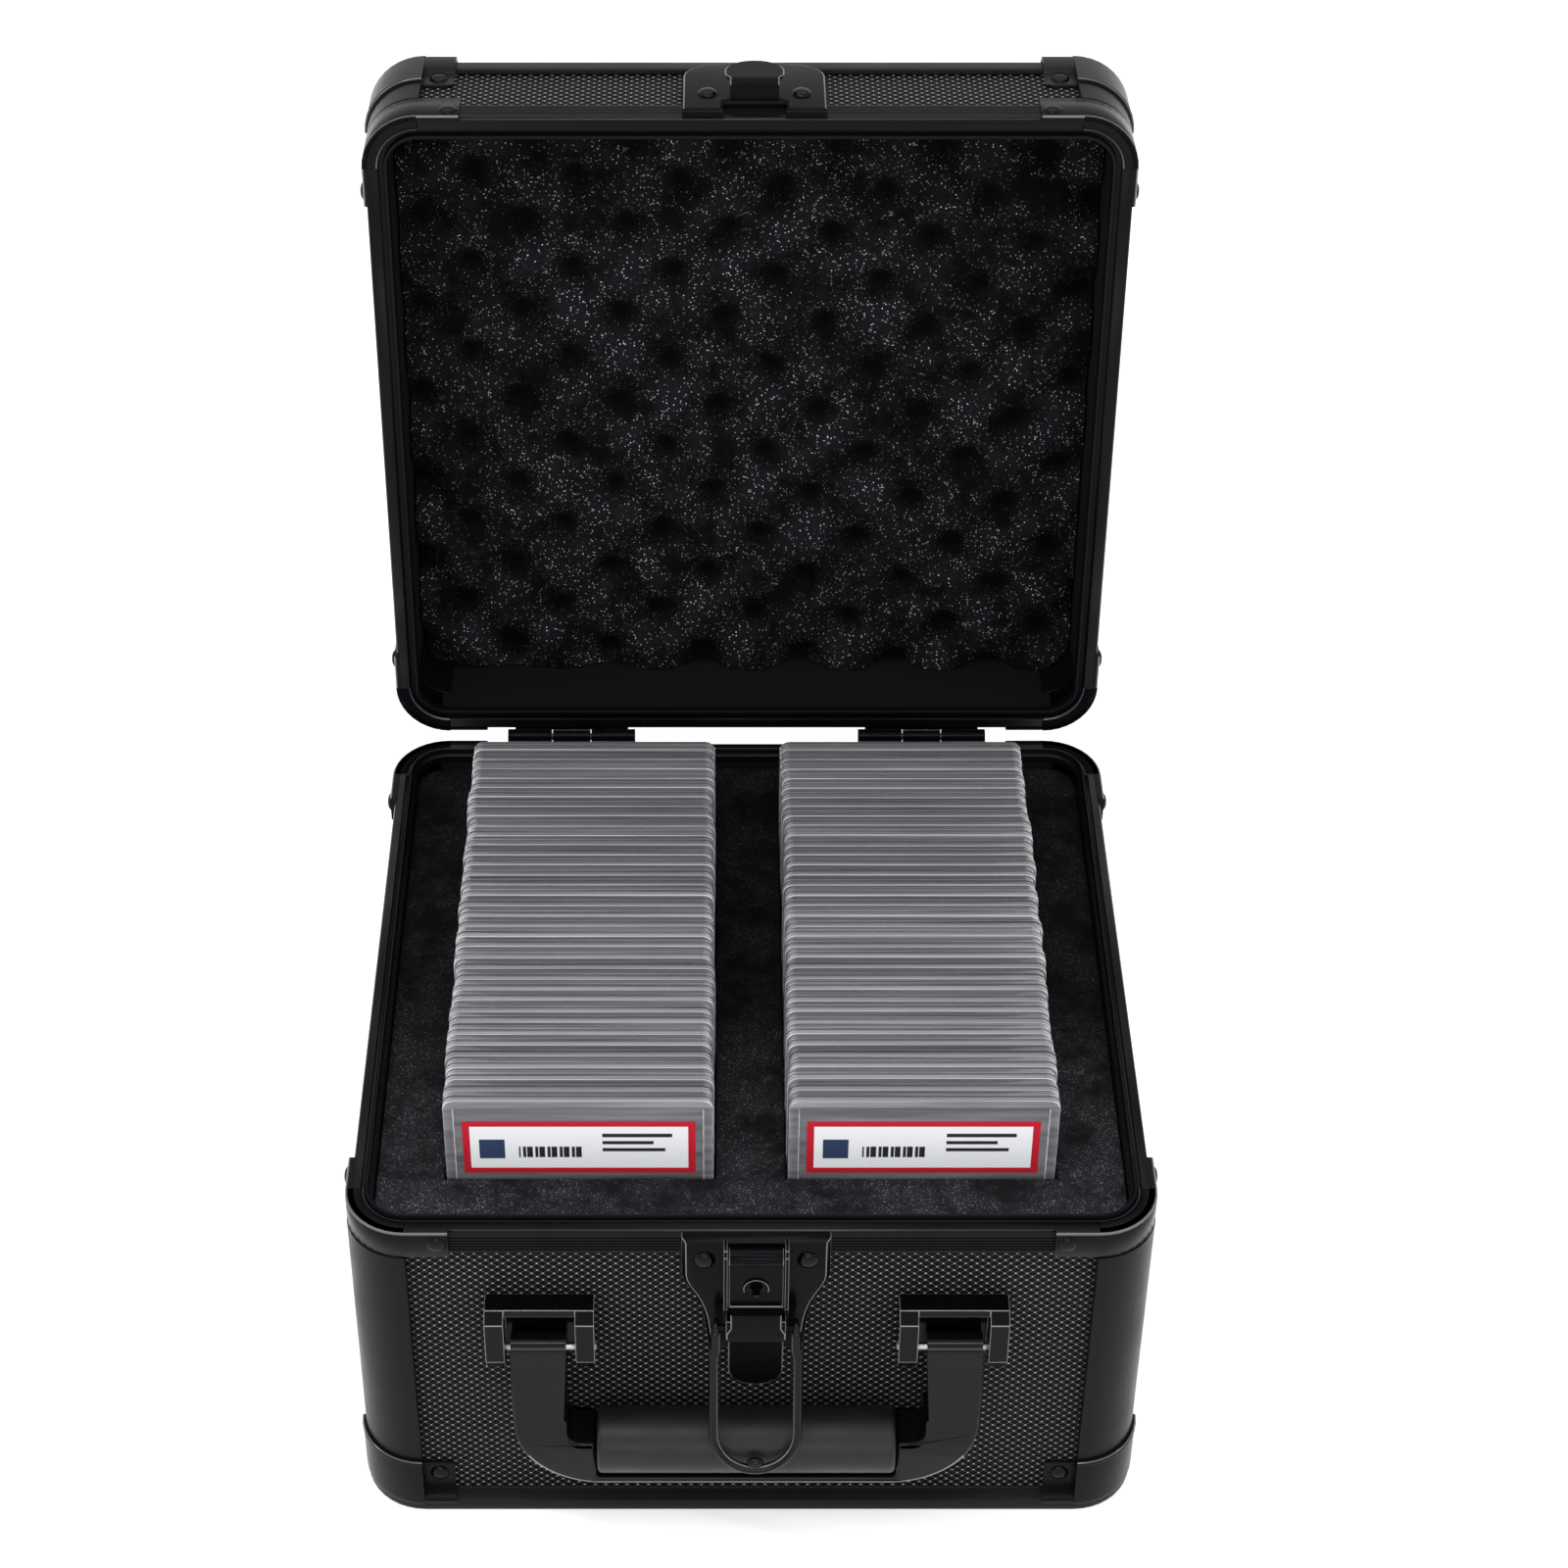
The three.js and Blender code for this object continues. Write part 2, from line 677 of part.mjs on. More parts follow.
const latchPlate = cut(join(
  depthwise(latchOutline(baseHeight - fit), ahead(plateFace, 0)[0], ahead(fit, 0)[0]),
  depthwise(latchOutline(rimLow - fit), ahead(plateFace / 2, 0)[0], ahead(boardFaceOut, 0)[0]),
  cheek(latchX - cheekOuter, latchX - cheekInner),
  cheek(latchX + cheekInner, latchX + cheekOuter),
  rivet(latchX - latchRivetX, frontFace - plateFace, latchRivetHeight, outward, plateSkin / 2),
  rivet(latchX + latchRivetX, frontFace - plateFace, latchRivetHeight, outward, plateSkin / 2)),
slopeCut,
rod(boreRadius, latchX - cheekOuter - overrun, latchX + cheekOuter + overrun,
  frontFace - leverPivotOut, leverPivotHeight));
piece(caseGroup, 'latch_plate', latchPlate, darkPressing);

// Lever: barrel with its trunnions, keyhole plate, a step out, and a tongue with a round end
const leverOuter = leverFace + leverStep;
const leverInner = leverFace - leverSkin;
const stepRun = leverStep / 2;
const leverProfile = polygon([
  ahead(leverFace, leverPivotHeight), ahead(leverFace, leverStepHigh),
  ahead(leverOuter, leverStepHigh - stepRun), ahead(leverOuter, leverStepLow),
  ahead(tongueEndOut, tongueEnd), ahead(tongueEndOut - leverSkin, tongueEnd),
  ahead(leverOuter - leverSkin, leverStepLow),
  ahead(leverOuter - leverSkin, leverStepHigh - stepRun - leverSkin),
  ahead(leverInner, leverStepHigh - leverSkin), ahead(leverInner, leverPivotHeight)]);
const leverWall = polygon([
  ahead(leverInner, leverStepLow), ahead(leverOuter - leverSkin / 2, leverStepLow),
  ahead(leverOuter - leverSkin / 2, leverStepHigh - stepRun - leverSkin),
  ahead(leverInner, leverStepHigh - leverSkin - stepRun)]);
function tongueOutline() {
  const shape = new THREE.Shape();
  shape.moveTo(latchX - leverWallOuter, cheekHigh + overrun);
  shape.lineTo(latchX - leverWallOuter, leverStepLow);
  shape.lineTo(latchX - leverHalf, leverStepLow - stepRun);
  shape.absarc(latchX, tongueEnd + leverHalf, leverHalf, Math.PI, Math.PI * 2);
  shape.lineTo(latchX + leverHalf, leverStepLow - stepRun);
  shape.lineTo(latchX + leverWallOuter, leverStepLow);
  shape.lineTo(latchX + leverWallOuter, cheekHigh + overrun);
  return shape;
}
const leverPivotY = frontFace - leverPivotOut;
const bailPinY = frontFace - bailPinOut;
function borehole(radius, x, z, y0, y1) {
  return depthwise(new THREE.Shape().absarc(x, z, radius, 0, Math.PI * 2), y0, y1, smallSteps);
}
const lever = cut(join(
  sideways(leverProfile, latchX - leverHalf, latchX + leverHalf),
  sideways(leverWall, latchX - leverWallOuter, latchX - leverWallInner),
  sideways(leverWall, latchX + leverWallInner, latchX + leverWallOuter),
  rod(leverBarrel, latchX - leverHalf, latchX + leverHalf, leverPivotY, leverPivotHeight, roundSteps))
  .intersect(depthwise(tongueOutline(), frontFace - leverOuter - overrun, frontFace)),
borehole(lockRadius + fit, latchX, lockHeight, frontFace - leverOuter, frontFace),
rod(boreRadius, latchX - leverWallOuter - overrun, latchX + leverWallOuter + overrun,
  bailPinY, bailPinHeight));
const leverWithPin = join(lever, rod(pinRadius, latchX - cheekOuter, latchX + cheekOuter,
  leverPivotY, leverPivotHeight));
piece(caseGroup, 'latch_lever', leverWithPin, darkPressing);

// Lock cylinder in the lever, with its key slot
const lockFaceY = frontFace - leverFace;
const keyhole = join(
  borehole(keySlot * keyRoundShare, latchX, lockHeight, lockFaceY - fit, lockFaceY + lockDepth / 2),
  box(latchX - keySlot / 2, latchX + keySlot / 2, lockFaceY - fit, lockFaceY + lockDepth / 2,
    lockHeight - lockRadius * keySlotShare, lockHeight));
const lockBody = borehole(lockRadius, latchX, lockHeight, lockFaceY, lockFaceY + lockDepth);
piece(caseGroup, 'lock_cylinder', cut(lockBody, keyhole), darkPressing);

// Bail pin through the lever walls, and the wire bail that swings on its ends
const pinReach = bailNeck + bailEyeWidth;
piece(caseGroup, 'bail_pin', rod(pinRadius, latchX - pinReach, latchX + pinReach, bailPinY, bailPinHeight),
  darkPressing);

function bailWireSolid() {
  const hang = THREE.MathUtils.degToRad(bailHang);
  const eyeMiddle = bailNeck + bailEyeWidth / 2;
  // A place in the bail: across from its middle, and down its length from the pin
  const at = (across, down) => new THREE.Vector3(
    latchX + across, bailPinY - down * Math.sin(hang), bailPinHeight - down * Math.cos(hang));
  const straight = bailLength - bailEnd;
  const places = [
    [-eyeMiddle, bailEye * bailStartShare], [-eyeMiddle, bailNeckLength / 2],
    [-bailHalf, bailNeckLength], [-bailHalf, (straight + bailNeckLength) / 2]];
  for (let step = 0; step <= bailArcSteps; step += 1) {
    const angle = Math.PI * step / bailArcSteps;
    places.push([-bailHalf * Math.cos(angle), straight + bailEnd * Math.sin(angle)]);
  }
  places.push([bailHalf, (straight + bailNeckLength) / 2], [bailHalf, bailNeckLength],
    [eyeMiddle, bailNeckLength / 2], [eyeMiddle, bailEye * bailStartShare]);
  const route = new THREE.CatmullRomCurve3(
    places.map(([across, down]) => at(across, down)), false, 'centripetal');
  const section = [];
  for (let side = 0; side < wireSides; side += 1) {
    const angle = 2 * Math.PI * (side + 0.5) / wireSides;
    section.push([bailWire * Math.cos(angle), bailWire * Math.sin(angle)]);
  }
  const wire = solidOf(new THREE.ExtrudeGeometry(polygon(section), {
    steps: bailSteps, extrudePath: route, bevelEnabled: false,
  }));
  const eye = (x0, x1) => sideways(disc(bailPinY, bailPinHeight, bailEye), x0, x1, smallSteps);
  return cut(join(wire,
    eye(latchX - pinReach, latchX - bailNeck), eye(latchX + bailNeck, latchX + pinReach)),
  rod(boreRadius, latchX - pinReach - overrun, latchX + pinReach + overrun, bailPinY, bailPinHeight));
}
piece(caseGroup, 'wire_bail', bailWireSolid(), darkPressing);

// Keeper on the lid: plate with a curved top, two feet bent towards the rim, and a hook tongue
function keeperOutline() {
  const shape = new THREE.Shape();
  const low = lidPlane + fit;
  const shoulder = lidPlane + keeperShoulder;
  const side = lidPlane + keeperSide;
  const bow = lidPlane + 2 * keeperTop - keeperSide;
  shape.moveTo(latchX - keeperHalf, low);
  shape.lineTo(latchX - keeperHalf, shoulder);
  shape.quadraticCurveTo(latchX - keeperHalf, side, latchX - keeperRivetX, side);
  shape.quadraticCurveTo(latchX, bow, latchX + keeperRivetX, side);
  shape.quadraticCurveTo(latchX + keeperHalf, side, latchX + keeperHalf, shoulder);
  shape.lineTo(latchX + keeperHalf, low);
  return shape;
}
const keeperThin = fit + plateSkin / 2;
const keeperSlope = sideways(polygon([
  ahead(plateFace, lidPlane + keeperBend), ahead(keeperThin, lidPlane), ahead(keeperThin, lidPlane - fit),
  ahead(plateFace + overrun, lidPlane - fit), ahead(plateFace + overrun, lidPlane + keeperBend)]),
latchX - 2 * keeperHalf, latchX + 2 * keeperHalf);
const root = lidPlane + hookRoot;
const hookEnd = lidPlane + hookTip;
const hookProfile = polygon([
  ahead(plateFace / 2, root), ahead(hookOut - 2 * hookSkin, root),
  ahead(hookOut - hookSkin / 2, root + hookSkin / 2), ahead(hookOut, root + 2 * hookSkin),
  ahead(hookOut, hookEnd - hookSkin), ahead(hookOut - hookSkin, hookEnd),
  ahead(hookOut - hookSkin, root + 2 * hookSkin), ahead(hookOut - 2 * hookSkin, root + hookSkin),
  ahead(plateFace / 2, root + hookSkin)]);
function hookOutline() {
  const shape = new THREE.Shape();
  shape.moveTo(latchX - hookRootHalf, root);
  shape.lineTo(latchX - hookRootHalf, root + hookSkin);
  shape.lineTo(latchX - hookHalf, root + 2 * hookSkin);
  shape.lineTo(latchX - hookHalf, lidPlane + hookRound);
  shape.absellipse(latchX, lidPlane + hookRound, hookHalf, hookTip - hookRound, Math.PI, 0, true);
  shape.lineTo(latchX + hookHalf, root + 2 * hookSkin);
  shape.lineTo(latchX + hookRootHalf, root + hookSkin);
  shape.lineTo(latchX + hookRootHalf, root);
  return shape;
}
const hook = sideways(hookProfile, latchX - hookHalf, latchX + hookHalf)
  .intersect(depthwise(hookOutline(), frontFace - hookOut - overrun, frontFace));
const keeper = join(
  cut(depthwise(keeperOutline(), ahead(plateFace, 0)[0], ahead(fit, 0)[0]), keeperSlope,
    box(latchX - keeperGapHalf, latchX + keeperGapHalf, frontFace - hookOut, frontFace,
      lidPlane - overrun, lidPlane + hookRoot - fit)),
  hook,
  rivet(latchX - keeperRivetX, frontFace - plateFace, lidPlane + keeperRivetUp, outward, plateSkin / 2),
  rivet(latchX + keeperRivetX, frontFace - plateFace, lidPlane + keeperRivetUp, outward, plateSkin / 2));
piece(lidClosed, 'lid_keeper', keeper, darkPressing);

// Handle brackets: a back plate, a hood and two ears bored for the pivot pins
const handlePivotY = frontFace - handlePivotOut;
function bracket(x0, x1) {
  const back = boardFaceOut;
  const earCorner = bracketOut - bracketHood;
  const ear = polygon([
    ahead(back, bracketTop), ahead(bracketHood, bracketTop), ahead(bracketOut, bracketTop - earCorner),
    ahead(bracketOut, handlePivotHeight - earCorner), ahead(bracketHood, bracketLow),
    ahead(back, bracketLow)]);
  const hoodLow = bracketTop - bracketHoodSkin;
  const plateOut = back + bracketPlate;
  const hood = polygon([
    ahead(back, bracketTop), ahead(bracketHood, bracketTop), ahead(bracketHood, hoodLow),
    ahead(plateOut, hoodLow), ahead(plateOut, bracketLow), ahead(back, bracketLow)]);
  return cut(join(
    sideways(hood, x0, x1), sideways(ear, x0, x0 + bracketEar), sideways(ear, x1 - bracketEar, x1)),
  rod(boreRadius, x0 - overrun, x1 + overrun, handlePivotY, handlePivotHeight));
}
const bracketReach = bracketInner - bracketEar;
const leftBracket = bracket(handleX - bracketOuter, handleX - bracketReach);
const rightBracket = bracket(handleX + bracketReach, handleX + bracketOuter);
piece(caseGroup, 'handle_bracket_left', leftBracket, blackPlastic);
piece(caseGroup, 'handle_bracket_right', rightBracket, blackPlastic);

// Handle frame: two arms and a band below the grip, with pivot pins in its arms and a core in the grip
function frameOutline() {
  const shape = new THREE.Shape();
  const top = handlePivotHeight + armBarrel + fit;
  const gripTop = gripHeight + gripCore;
  const bandTop = frameLow + frameBand;
  const notch = gripHeight + gripCore / 2;
  shape.moveTo(handleX - armOuter, top);
  shape.lineTo(handleX - armOuter, frameLow + frameCorner);
  shape.absellipse(handleX - armOuter + frameCorner, frameLow + frameCorner, frameCorner, frameCorner,
    Math.PI, 1.5 * Math.PI);
  shape.absellipse(handleX + armOuter - frameCorner, frameLow + frameCorner, frameCorner, frameCorner,
    1.5 * Math.PI, 2 * Math.PI);
  shape.lineTo(handleX + armOuter, top);
  shape.lineTo(handleX + armInner, top);
  shape.lineTo(handleX + armInner, gripTop);
  shape.lineTo(handleX + (armInner + gripHalf) / 2, notch);
  shape.lineTo(handleX + gripHalf + fit, notch);
  shape.lineTo(handleX + gripHalf + fit, bandTop);
  shape.lineTo(handleX - gripHalf - fit, bandTop);
  shape.lineTo(handleX - gripHalf - fit, notch);
  shape.lineTo(handleX - (armInner + gripHalf) / 2, notch);
  shape.lineTo(handleX - armInner, gripTop);
  shape.lineTo(handleX - armInner, top);
  return shape;
}
const barrelTop = handlePivotHeight + armBarrel;
const frameSide = polygon([
  ahead(handlePivotOut - armBarrel, handlePivotHeight), ahead(handlePivotOut - armBarrel / 2, barrelTop),
  ahead(handlePivotOut + armBarrel / 2, barrelTop), ahead(handlePivotOut + armBarrel, handlePivotHeight),
  ahead(frameFront - frameBand, gripHeight + gripRadius), ahead(frameFront, gripHeight),
  ahead(frameFront, frameLow), ahead(frameBack + frameBand, frameLow), ahead(frameBack, frameLow + frameBand),
  ahead(frameBack, gripHeight + gripRadius)]);
const gripY = frontFace - gripOut;
const gripLeft = handleX - gripHalf;
const gripRight = handleX + gripHalf;
function handlePin(x0, x1) {
  return rod(pinRadius, x0 - fit, x1 + fit, handlePivotY, handlePivotHeight);
}
const frameBody = depthwise(frameOutline(), frontFace - frameFront - overrun, frontFace + overrun)
  .intersect(sideways(frameSide, handleX - armOuter, handleX + armOuter));
const gripSpace = rod(gripRadius + fit, gripLeft - fit, gripRight + fit, gripY, gripHeight, roundSteps);
const handleFrame = join(
  cut(frameBody, gripSpace),
  rod(gripCore, gripLeft - frameBand, gripRight + frameBand, gripY, gripHeight, roundSteps),
  handlePin(handleX - bracketOuter, handleX - bracketReach),
  handlePin(handleX + bracketReach, handleX + bracketOuter));
piece(caseGroup, 'handle_frame', handleFrame, blackPlastic);
const grip = cut(
  rod(gripRadius, gripLeft, gripRight, gripY, gripHeight, roundSteps),
  rod(gripCore + fit, gripLeft - fit, gripRight + fit, gripY, gripHeight, roundSteps));
piece(caseGroup, 'handle_grip', grip, matteGrip);

// Hinges: leaves that step from the rim face onto the board, knuckles on one pin, and end ears
function behind(out, z) {
  return [backFace + out, z];
}
const hingeY = backFace + hingeOut;
function leaf(sign, drop, x0, x1) {
  const faceOut = fit + hingeSkin;
  const at = (out, away) => behind(out, hingeHeight + sign * away);
  const bend = rimHeight + seamGap / 2 + hingeSkin;
  return sideways(polygon([
    at(fit, 0), at(faceOut, 0), at(faceOut, bend + hingeSkin),
    at(boardFaceOut + hingeSkin, bend + 2 * hingeSkin + boardRecess / 2),
    at(boardFaceOut + hingeSkin, drop), at(boardFaceOut, drop),
    at(boardFaceOut, bend + hingeSkin + boardRecess / 2), at(fit, bend)]), x0, x1);
}
function knuckle(x0, x1) {
  return sideways(disc(hingeY, hingeHeight, hingeBarrel), x0, x1);
}
function hingeRivets(centre, z) {
  const back = new THREE.Vector3(0, 1, 0);
  const face = backFace + boardFaceOut + hingeSkin;
  return join(
    rivet(centre - hingeRivetX, face, z, back, hingeSkin / 2),
    rivet(centre + hingeRivetX, face, z, back, hingeSkin / 2));
}
const hingeBand = hingeWidth - 2 * hingeEar - 2 * fit;
for (const [signX, side] of [[-1, 'left'], [1, 'right']]) {
  const centre = signX * hingeCentre;
  const half = hingeWidth / 2;
  const bandHalf = hingeBand / 2;
  const middle = hingeBand * knuckleShare;
  const bore = rod(boreRadius, centre - half - overrun, centre + half + overrun, hingeY, hingeHeight);
  const sweepRoom = (x0, x1) => rod(hingeBarrel + fit, x0, x1, hingeY, hingeHeight);
  const baseLeaf = join(
    cut(leaf(-1, hingeDrop, centre - half, centre + half),
      sweepRoom(centre - middle - fit, centre + middle + fit)),
    knuckle(centre - half, centre - middle - fit),
    knuckle(centre + middle + fit, centre + half),
    hingeRivets(centre, hingeHeight - hingeRivetDrop));
  piece(caseGroup, `hinge_base_leaf_${side}`, cut(baseLeaf, bore), darkPressing);
  const lidLeaf = join(
    cut(leaf(1, lidHingeDrop, centre - bandHalf, centre + bandHalf),
      sweepRoom(centre - half, centre - middle), sweepRoom(centre + middle, centre + half)),
    knuckle(centre - middle, centre + middle),
    hingeRivets(centre, hingeHeight + hingeRivetDrop));
  piece(lidClosed, `hinge_lid_leaf_${side}`, cut(lidLeaf, bore), darkPressing);
  piece(caseGroup, `hinge_pin_${side}`, rod(pinRadius, centre - half, centre + half, hingeY, hingeHeight),
    darkPressing);
}

// The origin lies under the middle of the whole open case
const extent = new THREE.Box3().setFromObject(caseGroup, true);
caseGroup.position.y = -(extent.min.y + extent.max.y) / 2;

export default caseGroup;
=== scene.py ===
import json
import math
import random

import bpy
from mathutils import Matrix, Vector


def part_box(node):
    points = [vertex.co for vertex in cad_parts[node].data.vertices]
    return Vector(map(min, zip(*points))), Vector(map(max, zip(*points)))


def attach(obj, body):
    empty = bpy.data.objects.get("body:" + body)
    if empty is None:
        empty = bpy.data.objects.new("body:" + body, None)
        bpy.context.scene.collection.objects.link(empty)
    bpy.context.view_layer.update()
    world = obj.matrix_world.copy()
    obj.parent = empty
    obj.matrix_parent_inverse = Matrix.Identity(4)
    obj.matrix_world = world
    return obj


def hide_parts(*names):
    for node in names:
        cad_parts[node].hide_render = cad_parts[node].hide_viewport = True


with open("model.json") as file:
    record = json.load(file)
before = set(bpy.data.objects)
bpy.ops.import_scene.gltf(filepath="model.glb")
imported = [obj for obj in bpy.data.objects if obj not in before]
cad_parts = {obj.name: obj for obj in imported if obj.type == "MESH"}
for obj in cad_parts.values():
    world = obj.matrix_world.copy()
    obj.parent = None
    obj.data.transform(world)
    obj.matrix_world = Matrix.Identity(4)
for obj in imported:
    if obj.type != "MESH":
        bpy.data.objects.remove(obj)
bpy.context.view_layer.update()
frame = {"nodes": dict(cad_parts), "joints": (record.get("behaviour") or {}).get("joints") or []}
nodes = frame["nodes"]
mm = 0.001
scene = bpy.context.scene

# View. A long lens stands in front of the case and looks down at it, a little left of its middle,
# so the frame is shifted to the right.
base_low, base_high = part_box("base_rim_frame")
view_distance = 699 * mm
view_height = 873.5 * mm
view_side = -10.1 * mm
view_down = 39.47
bpy.ops.object.camera_add(
    location=(view_side, base_low.y - view_distance, view_height),
    rotation=(math.radians(90 - view_down), 0, 0),
)
camera = bpy.context.object
camera.data.lens = 78.75
camera.data.sensor_width = 36
camera.data.shift_x = 0.0424
camera.data.clip_end = 20
scene.camera = camera
scene.view_settings.view_transform = "Standard"


# Floor and light. A white sweep under a soft box overhead and one at each side, in a pale room that
# shows as white where the polished pieces mirror it.
def new_material(name):
    made = bpy.data.materials.new(name)
    made.use_nodes = True
    tree = made.node_tree
    tree.nodes.clear()
    output = tree.nodes.new("ShaderNodeOutputMaterial")
    return made, tree, output


def add_node(tree, kind, values=None, **settings):
    made = tree.nodes.new(kind)
    for key, value in settings.items():
        setattr(made, key, value)
    for key, value in (values or {}).items():
        if isinstance(value, bpy.types.NodeSocket):
            tree.links.new(value, made.inputs[key])
        else:
            made.inputs[key].default_value = value
    return made


def seen_directly(tree):
    path = add_node(tree, "ShaderNodeLightPath")
    camera_or_gloss = add_node(
        tree, "ShaderNodeMath", {0: path.outputs["Is Camera Ray"], 1: path.outputs["Is Glossy Ray"]},
        operation="ADD", use_clamp=True)
    return add_node(
        tree, "ShaderNodeMath", {0: camera_or_gloss.outputs[0], 1: path.outputs["Is Transmission Ray"]},
        operation="ADD", use_clamp=True).outputs[0]


floor_lift = 0.45
bpy.ops.mesh.primitive_plane_add(size=8)
floor = bpy.context.object
floor.name = "floor"
floor_white, tree, output = new_material("white_floor")
lift = add_node(tree, "ShaderNodeMath", {0: seen_directly(tree), 1: floor_lift}, operation="MULTIPLY")
paint = add_node(tree, "ShaderNodeBsdfPrincipled", {
    "Base Color": (0.8, 0.8, 0.8, 1), "Roughness": 0.9, "Specular IOR Level": 0.1,
    "Emission Color": (1, 1, 1, 1), "Emission Strength": lift.outputs[0]})
tree.links.new(paint.outputs[0], output.inputs[0])
floor.data.materials.append(floor_white)

room_light = 0.9
world = bpy.data.worlds.new("pale_room")
scene.world = world
world.use_nodes = True
tree = world.node_tree
tree.nodes.clear()
white_when_seen = add_node(
    tree, "ShaderNodeMapRange", {"Value": seen_directly(tree), "To Min": room_light, "To Max": 1.0})
room = add_node(
    tree, "ShaderNodeBackground", {"Color": (1, 1, 1, 1), "Strength": white_when_seen.outputs[0]})
world_output = add_node(tree, "ShaderNodeOutputWorld")
tree.links.new(room.outputs[0], world_output.inputs[0])


def soft_box(name, place, aim, width, height, power):
    bpy.ops.object.light_add(type="AREA", location=place)
    lamp = bpy.context.object
    lamp.name = name
    lamp.data.shape = "RECTANGLE"
    lamp.data.size = width
    lamp.data.size_y = height
    lamp.data.energy = power
    lamp.rotation_euler = (Vector(aim) - Vector(place)).to_track_quat("-Z", "Y").to_euler()


soft_box("overhead_box", (0, 0.55, 1.9), (0, 0, 0.1), 1.8, 1.0, 9)
soft_box("strip_box", (-0.2, -0.7, 1.7), (0, -0.1, 0.1), 1.5, 0.07, 8)
soft_box("front_box", (0.1, -2.2, 1.0), (0, 0, 0.1), 1.4, 0.7, 11)
soft_box("left_box", (-1.5, -0.35, 0.7), (0, 0, 0.12), 0.3, 1.1, 3)
soft_box("right_box", (1.5, -0.5, 0.8), (0, 0, 0.12), 0.2, 1.0, 2)

# The hinge line and the open lid. Lid pieces are shaped as on the closed case and then turned open.
hinge_joint = next(joint for joint in frame["joints"] if joint["name"] == "lid_hinge")
hinge_line = Vector(hinge_joint["pos_m"])
open_turn = math.radians(hinge_joint["range_deg"][0])
open_lid = (
    Matrix.Translation(hinge_line) @ Matrix.Rotation(open_turn, 4, "X") @ Matrix.Translation(-hinge_line))
front_face = base_low.y
case_half = Vector((base_high.x, (base_high.y - base_low.y) / 2))
case_middle = (base_high.y + base_low.y) / 2
rim_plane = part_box("base_front_left_rim_corner")[1].z
lid_plane = rim_plane + 0.4 * mm
lid_height = 46.5 * mm
lid_top = lid_plane + lid_height

# A shell is shaped with its floor at height 0 and its rim plane on top; the lid's is turned over and
# set on the base, and then opens.
shell_height = {"base": rim_plane, "lid": lid_height}
shell_place = {
    "base": Matrix.Identity(4),
    "lid": open_lid @ Matrix.Translation((0, 2 * case_middle, lid_top)) @ Matrix.Rotation(math.pi, 4, "X"),
}


# Frames, posts, corner pieces and caps. Aluminium extrusions and steel pressings in a satin black powder coat, whose
# cut edges and folds are slightly rounded and catch the light; on many of them the bright edge is a painted highlight.
def group_tree(name, inputs, outputs):
    tree = bpy.data.node_groups.new(name, "ShaderNodeTree")
    for socket, value in inputs.items():
        made = tree.interface.new_socket(socket, in_out="INPUT", socket_type="NodeSocketFloat")
        made.default_value = value
    for socket in outputs:
        tree.interface.new_socket(socket, in_out="OUTPUT", socket_type="NodeSocketFloat")
    return tree, add_node(tree, "NodeGroupInput"), add_node(tree, "NodeGroupOutput")


def math_node(tree, operation, first, second=0.0, clamp=False):
    return add_node(
        tree, "ShaderNodeMath", {0: first, 1: second}, operation=operation, use_clamp=clamp).outputs[0]


# Powder coat: fine orange peel in the height, and slow patches in the tone
coat_group, group_in, group_out = group_tree("powder_coat", {"Grain": 1400.0, "Patch": 60.0}, ["Height", "Tone"])
coords = add_node(coat_group, "ShaderNodeTexCoord")
peel = add_node(coat_group, "ShaderNodeTexNoise", {
    "Vector": coords.outputs["Object"], "Scale": group_in.outputs["Grain"], "Detail": 3.0})
patch = add_node(coat_group, "ShaderNodeTexNoise", {
    "Vector": coords.outputs["Object"], "Scale": group_in.outputs["Patch"], "Detail": 4.0})
coat_group.links.new(peel.outputs["Fac"], group_out.inputs["Height"])
coat_group.links.new(patch.outputs["Fac"], group_out.inputs["Tone"])


def coat(name, color, roughness, specular, grain=1400.0, depth=0.06, patch=60.0, metal=0.0):
    made, tree, output = new_material(name)
    surface = add_node(tree, "ShaderNodeGroup", {"Grain": grain, "Patch": patch}, node_tree=coat_group)
    tone = add_node(tree, "ShaderNodeMapRange", {
        "Value": surface.outputs["Tone"], "From Min": 0.3, "From Max": 0.7, "To Min": 0.8, "To Max": 1.2})
    tint = add_node(tree, "ShaderNodeMix", {
        6: (color[0] * 0.8, color[1] * 0.8, color[2] * 0.8, 1),
        7: (color[0] * 1.2, color[1] * 1.2, color[2] * 1.2, 1), 0: surface.outputs["Tone"]},
        data_type="RGBA")
    rough = math_node(tree, "MULTIPLY", tone.outputs[0], roughness)
    bump = add_node(tree, "ShaderNodeBump", {
        "Height": surface.outputs["Height"], "Distance": 0.05 * mm, "Strength": depth})
    shader = add_node(tree, "ShaderNodeBsdfPrincipled", {
        "Base Color": tint.outputs[2], "Roughness": rough, "Specular IOR Level": specular,
        "Metallic": metal, "Normal": bump.outputs[0]})
    tree.links.new(shader.outputs[0], output.inputs[0])
    return made


def soften(node, width, segments=2, angle=25, bright=False):
    solid = nodes[node]
    for polygon in solid.data.polygons:
        polygon.use_smooth = True
    weld = solid.modifiers.new("weld", "WELD")
    weld.merge_threshold = 0.005 * mm
    flat = solid.modifiers.new("flat", "DECIMATE")
    flat.decimate_type = "DISSOLVE"
    flat.angle_limit = math.radians(1)
    edge = solid.modifiers.new("edge", "BEVEL")
    edge.width = width
    edge.segments = segments
    edge.limit_method = "ANGLE"
    edge.angle_limit = math.radians(angle)
    edge.material = 1 if bright else -1
    even = solid.modifiers.new("even", "WEIGHTED_NORMAL")
    even.weight = 100
    even.keep_sharp = False


def finished(piece, *finishes):
    piece.data.materials.clear()
    for finish in finishes:
        piece.data.materials.append(finish)
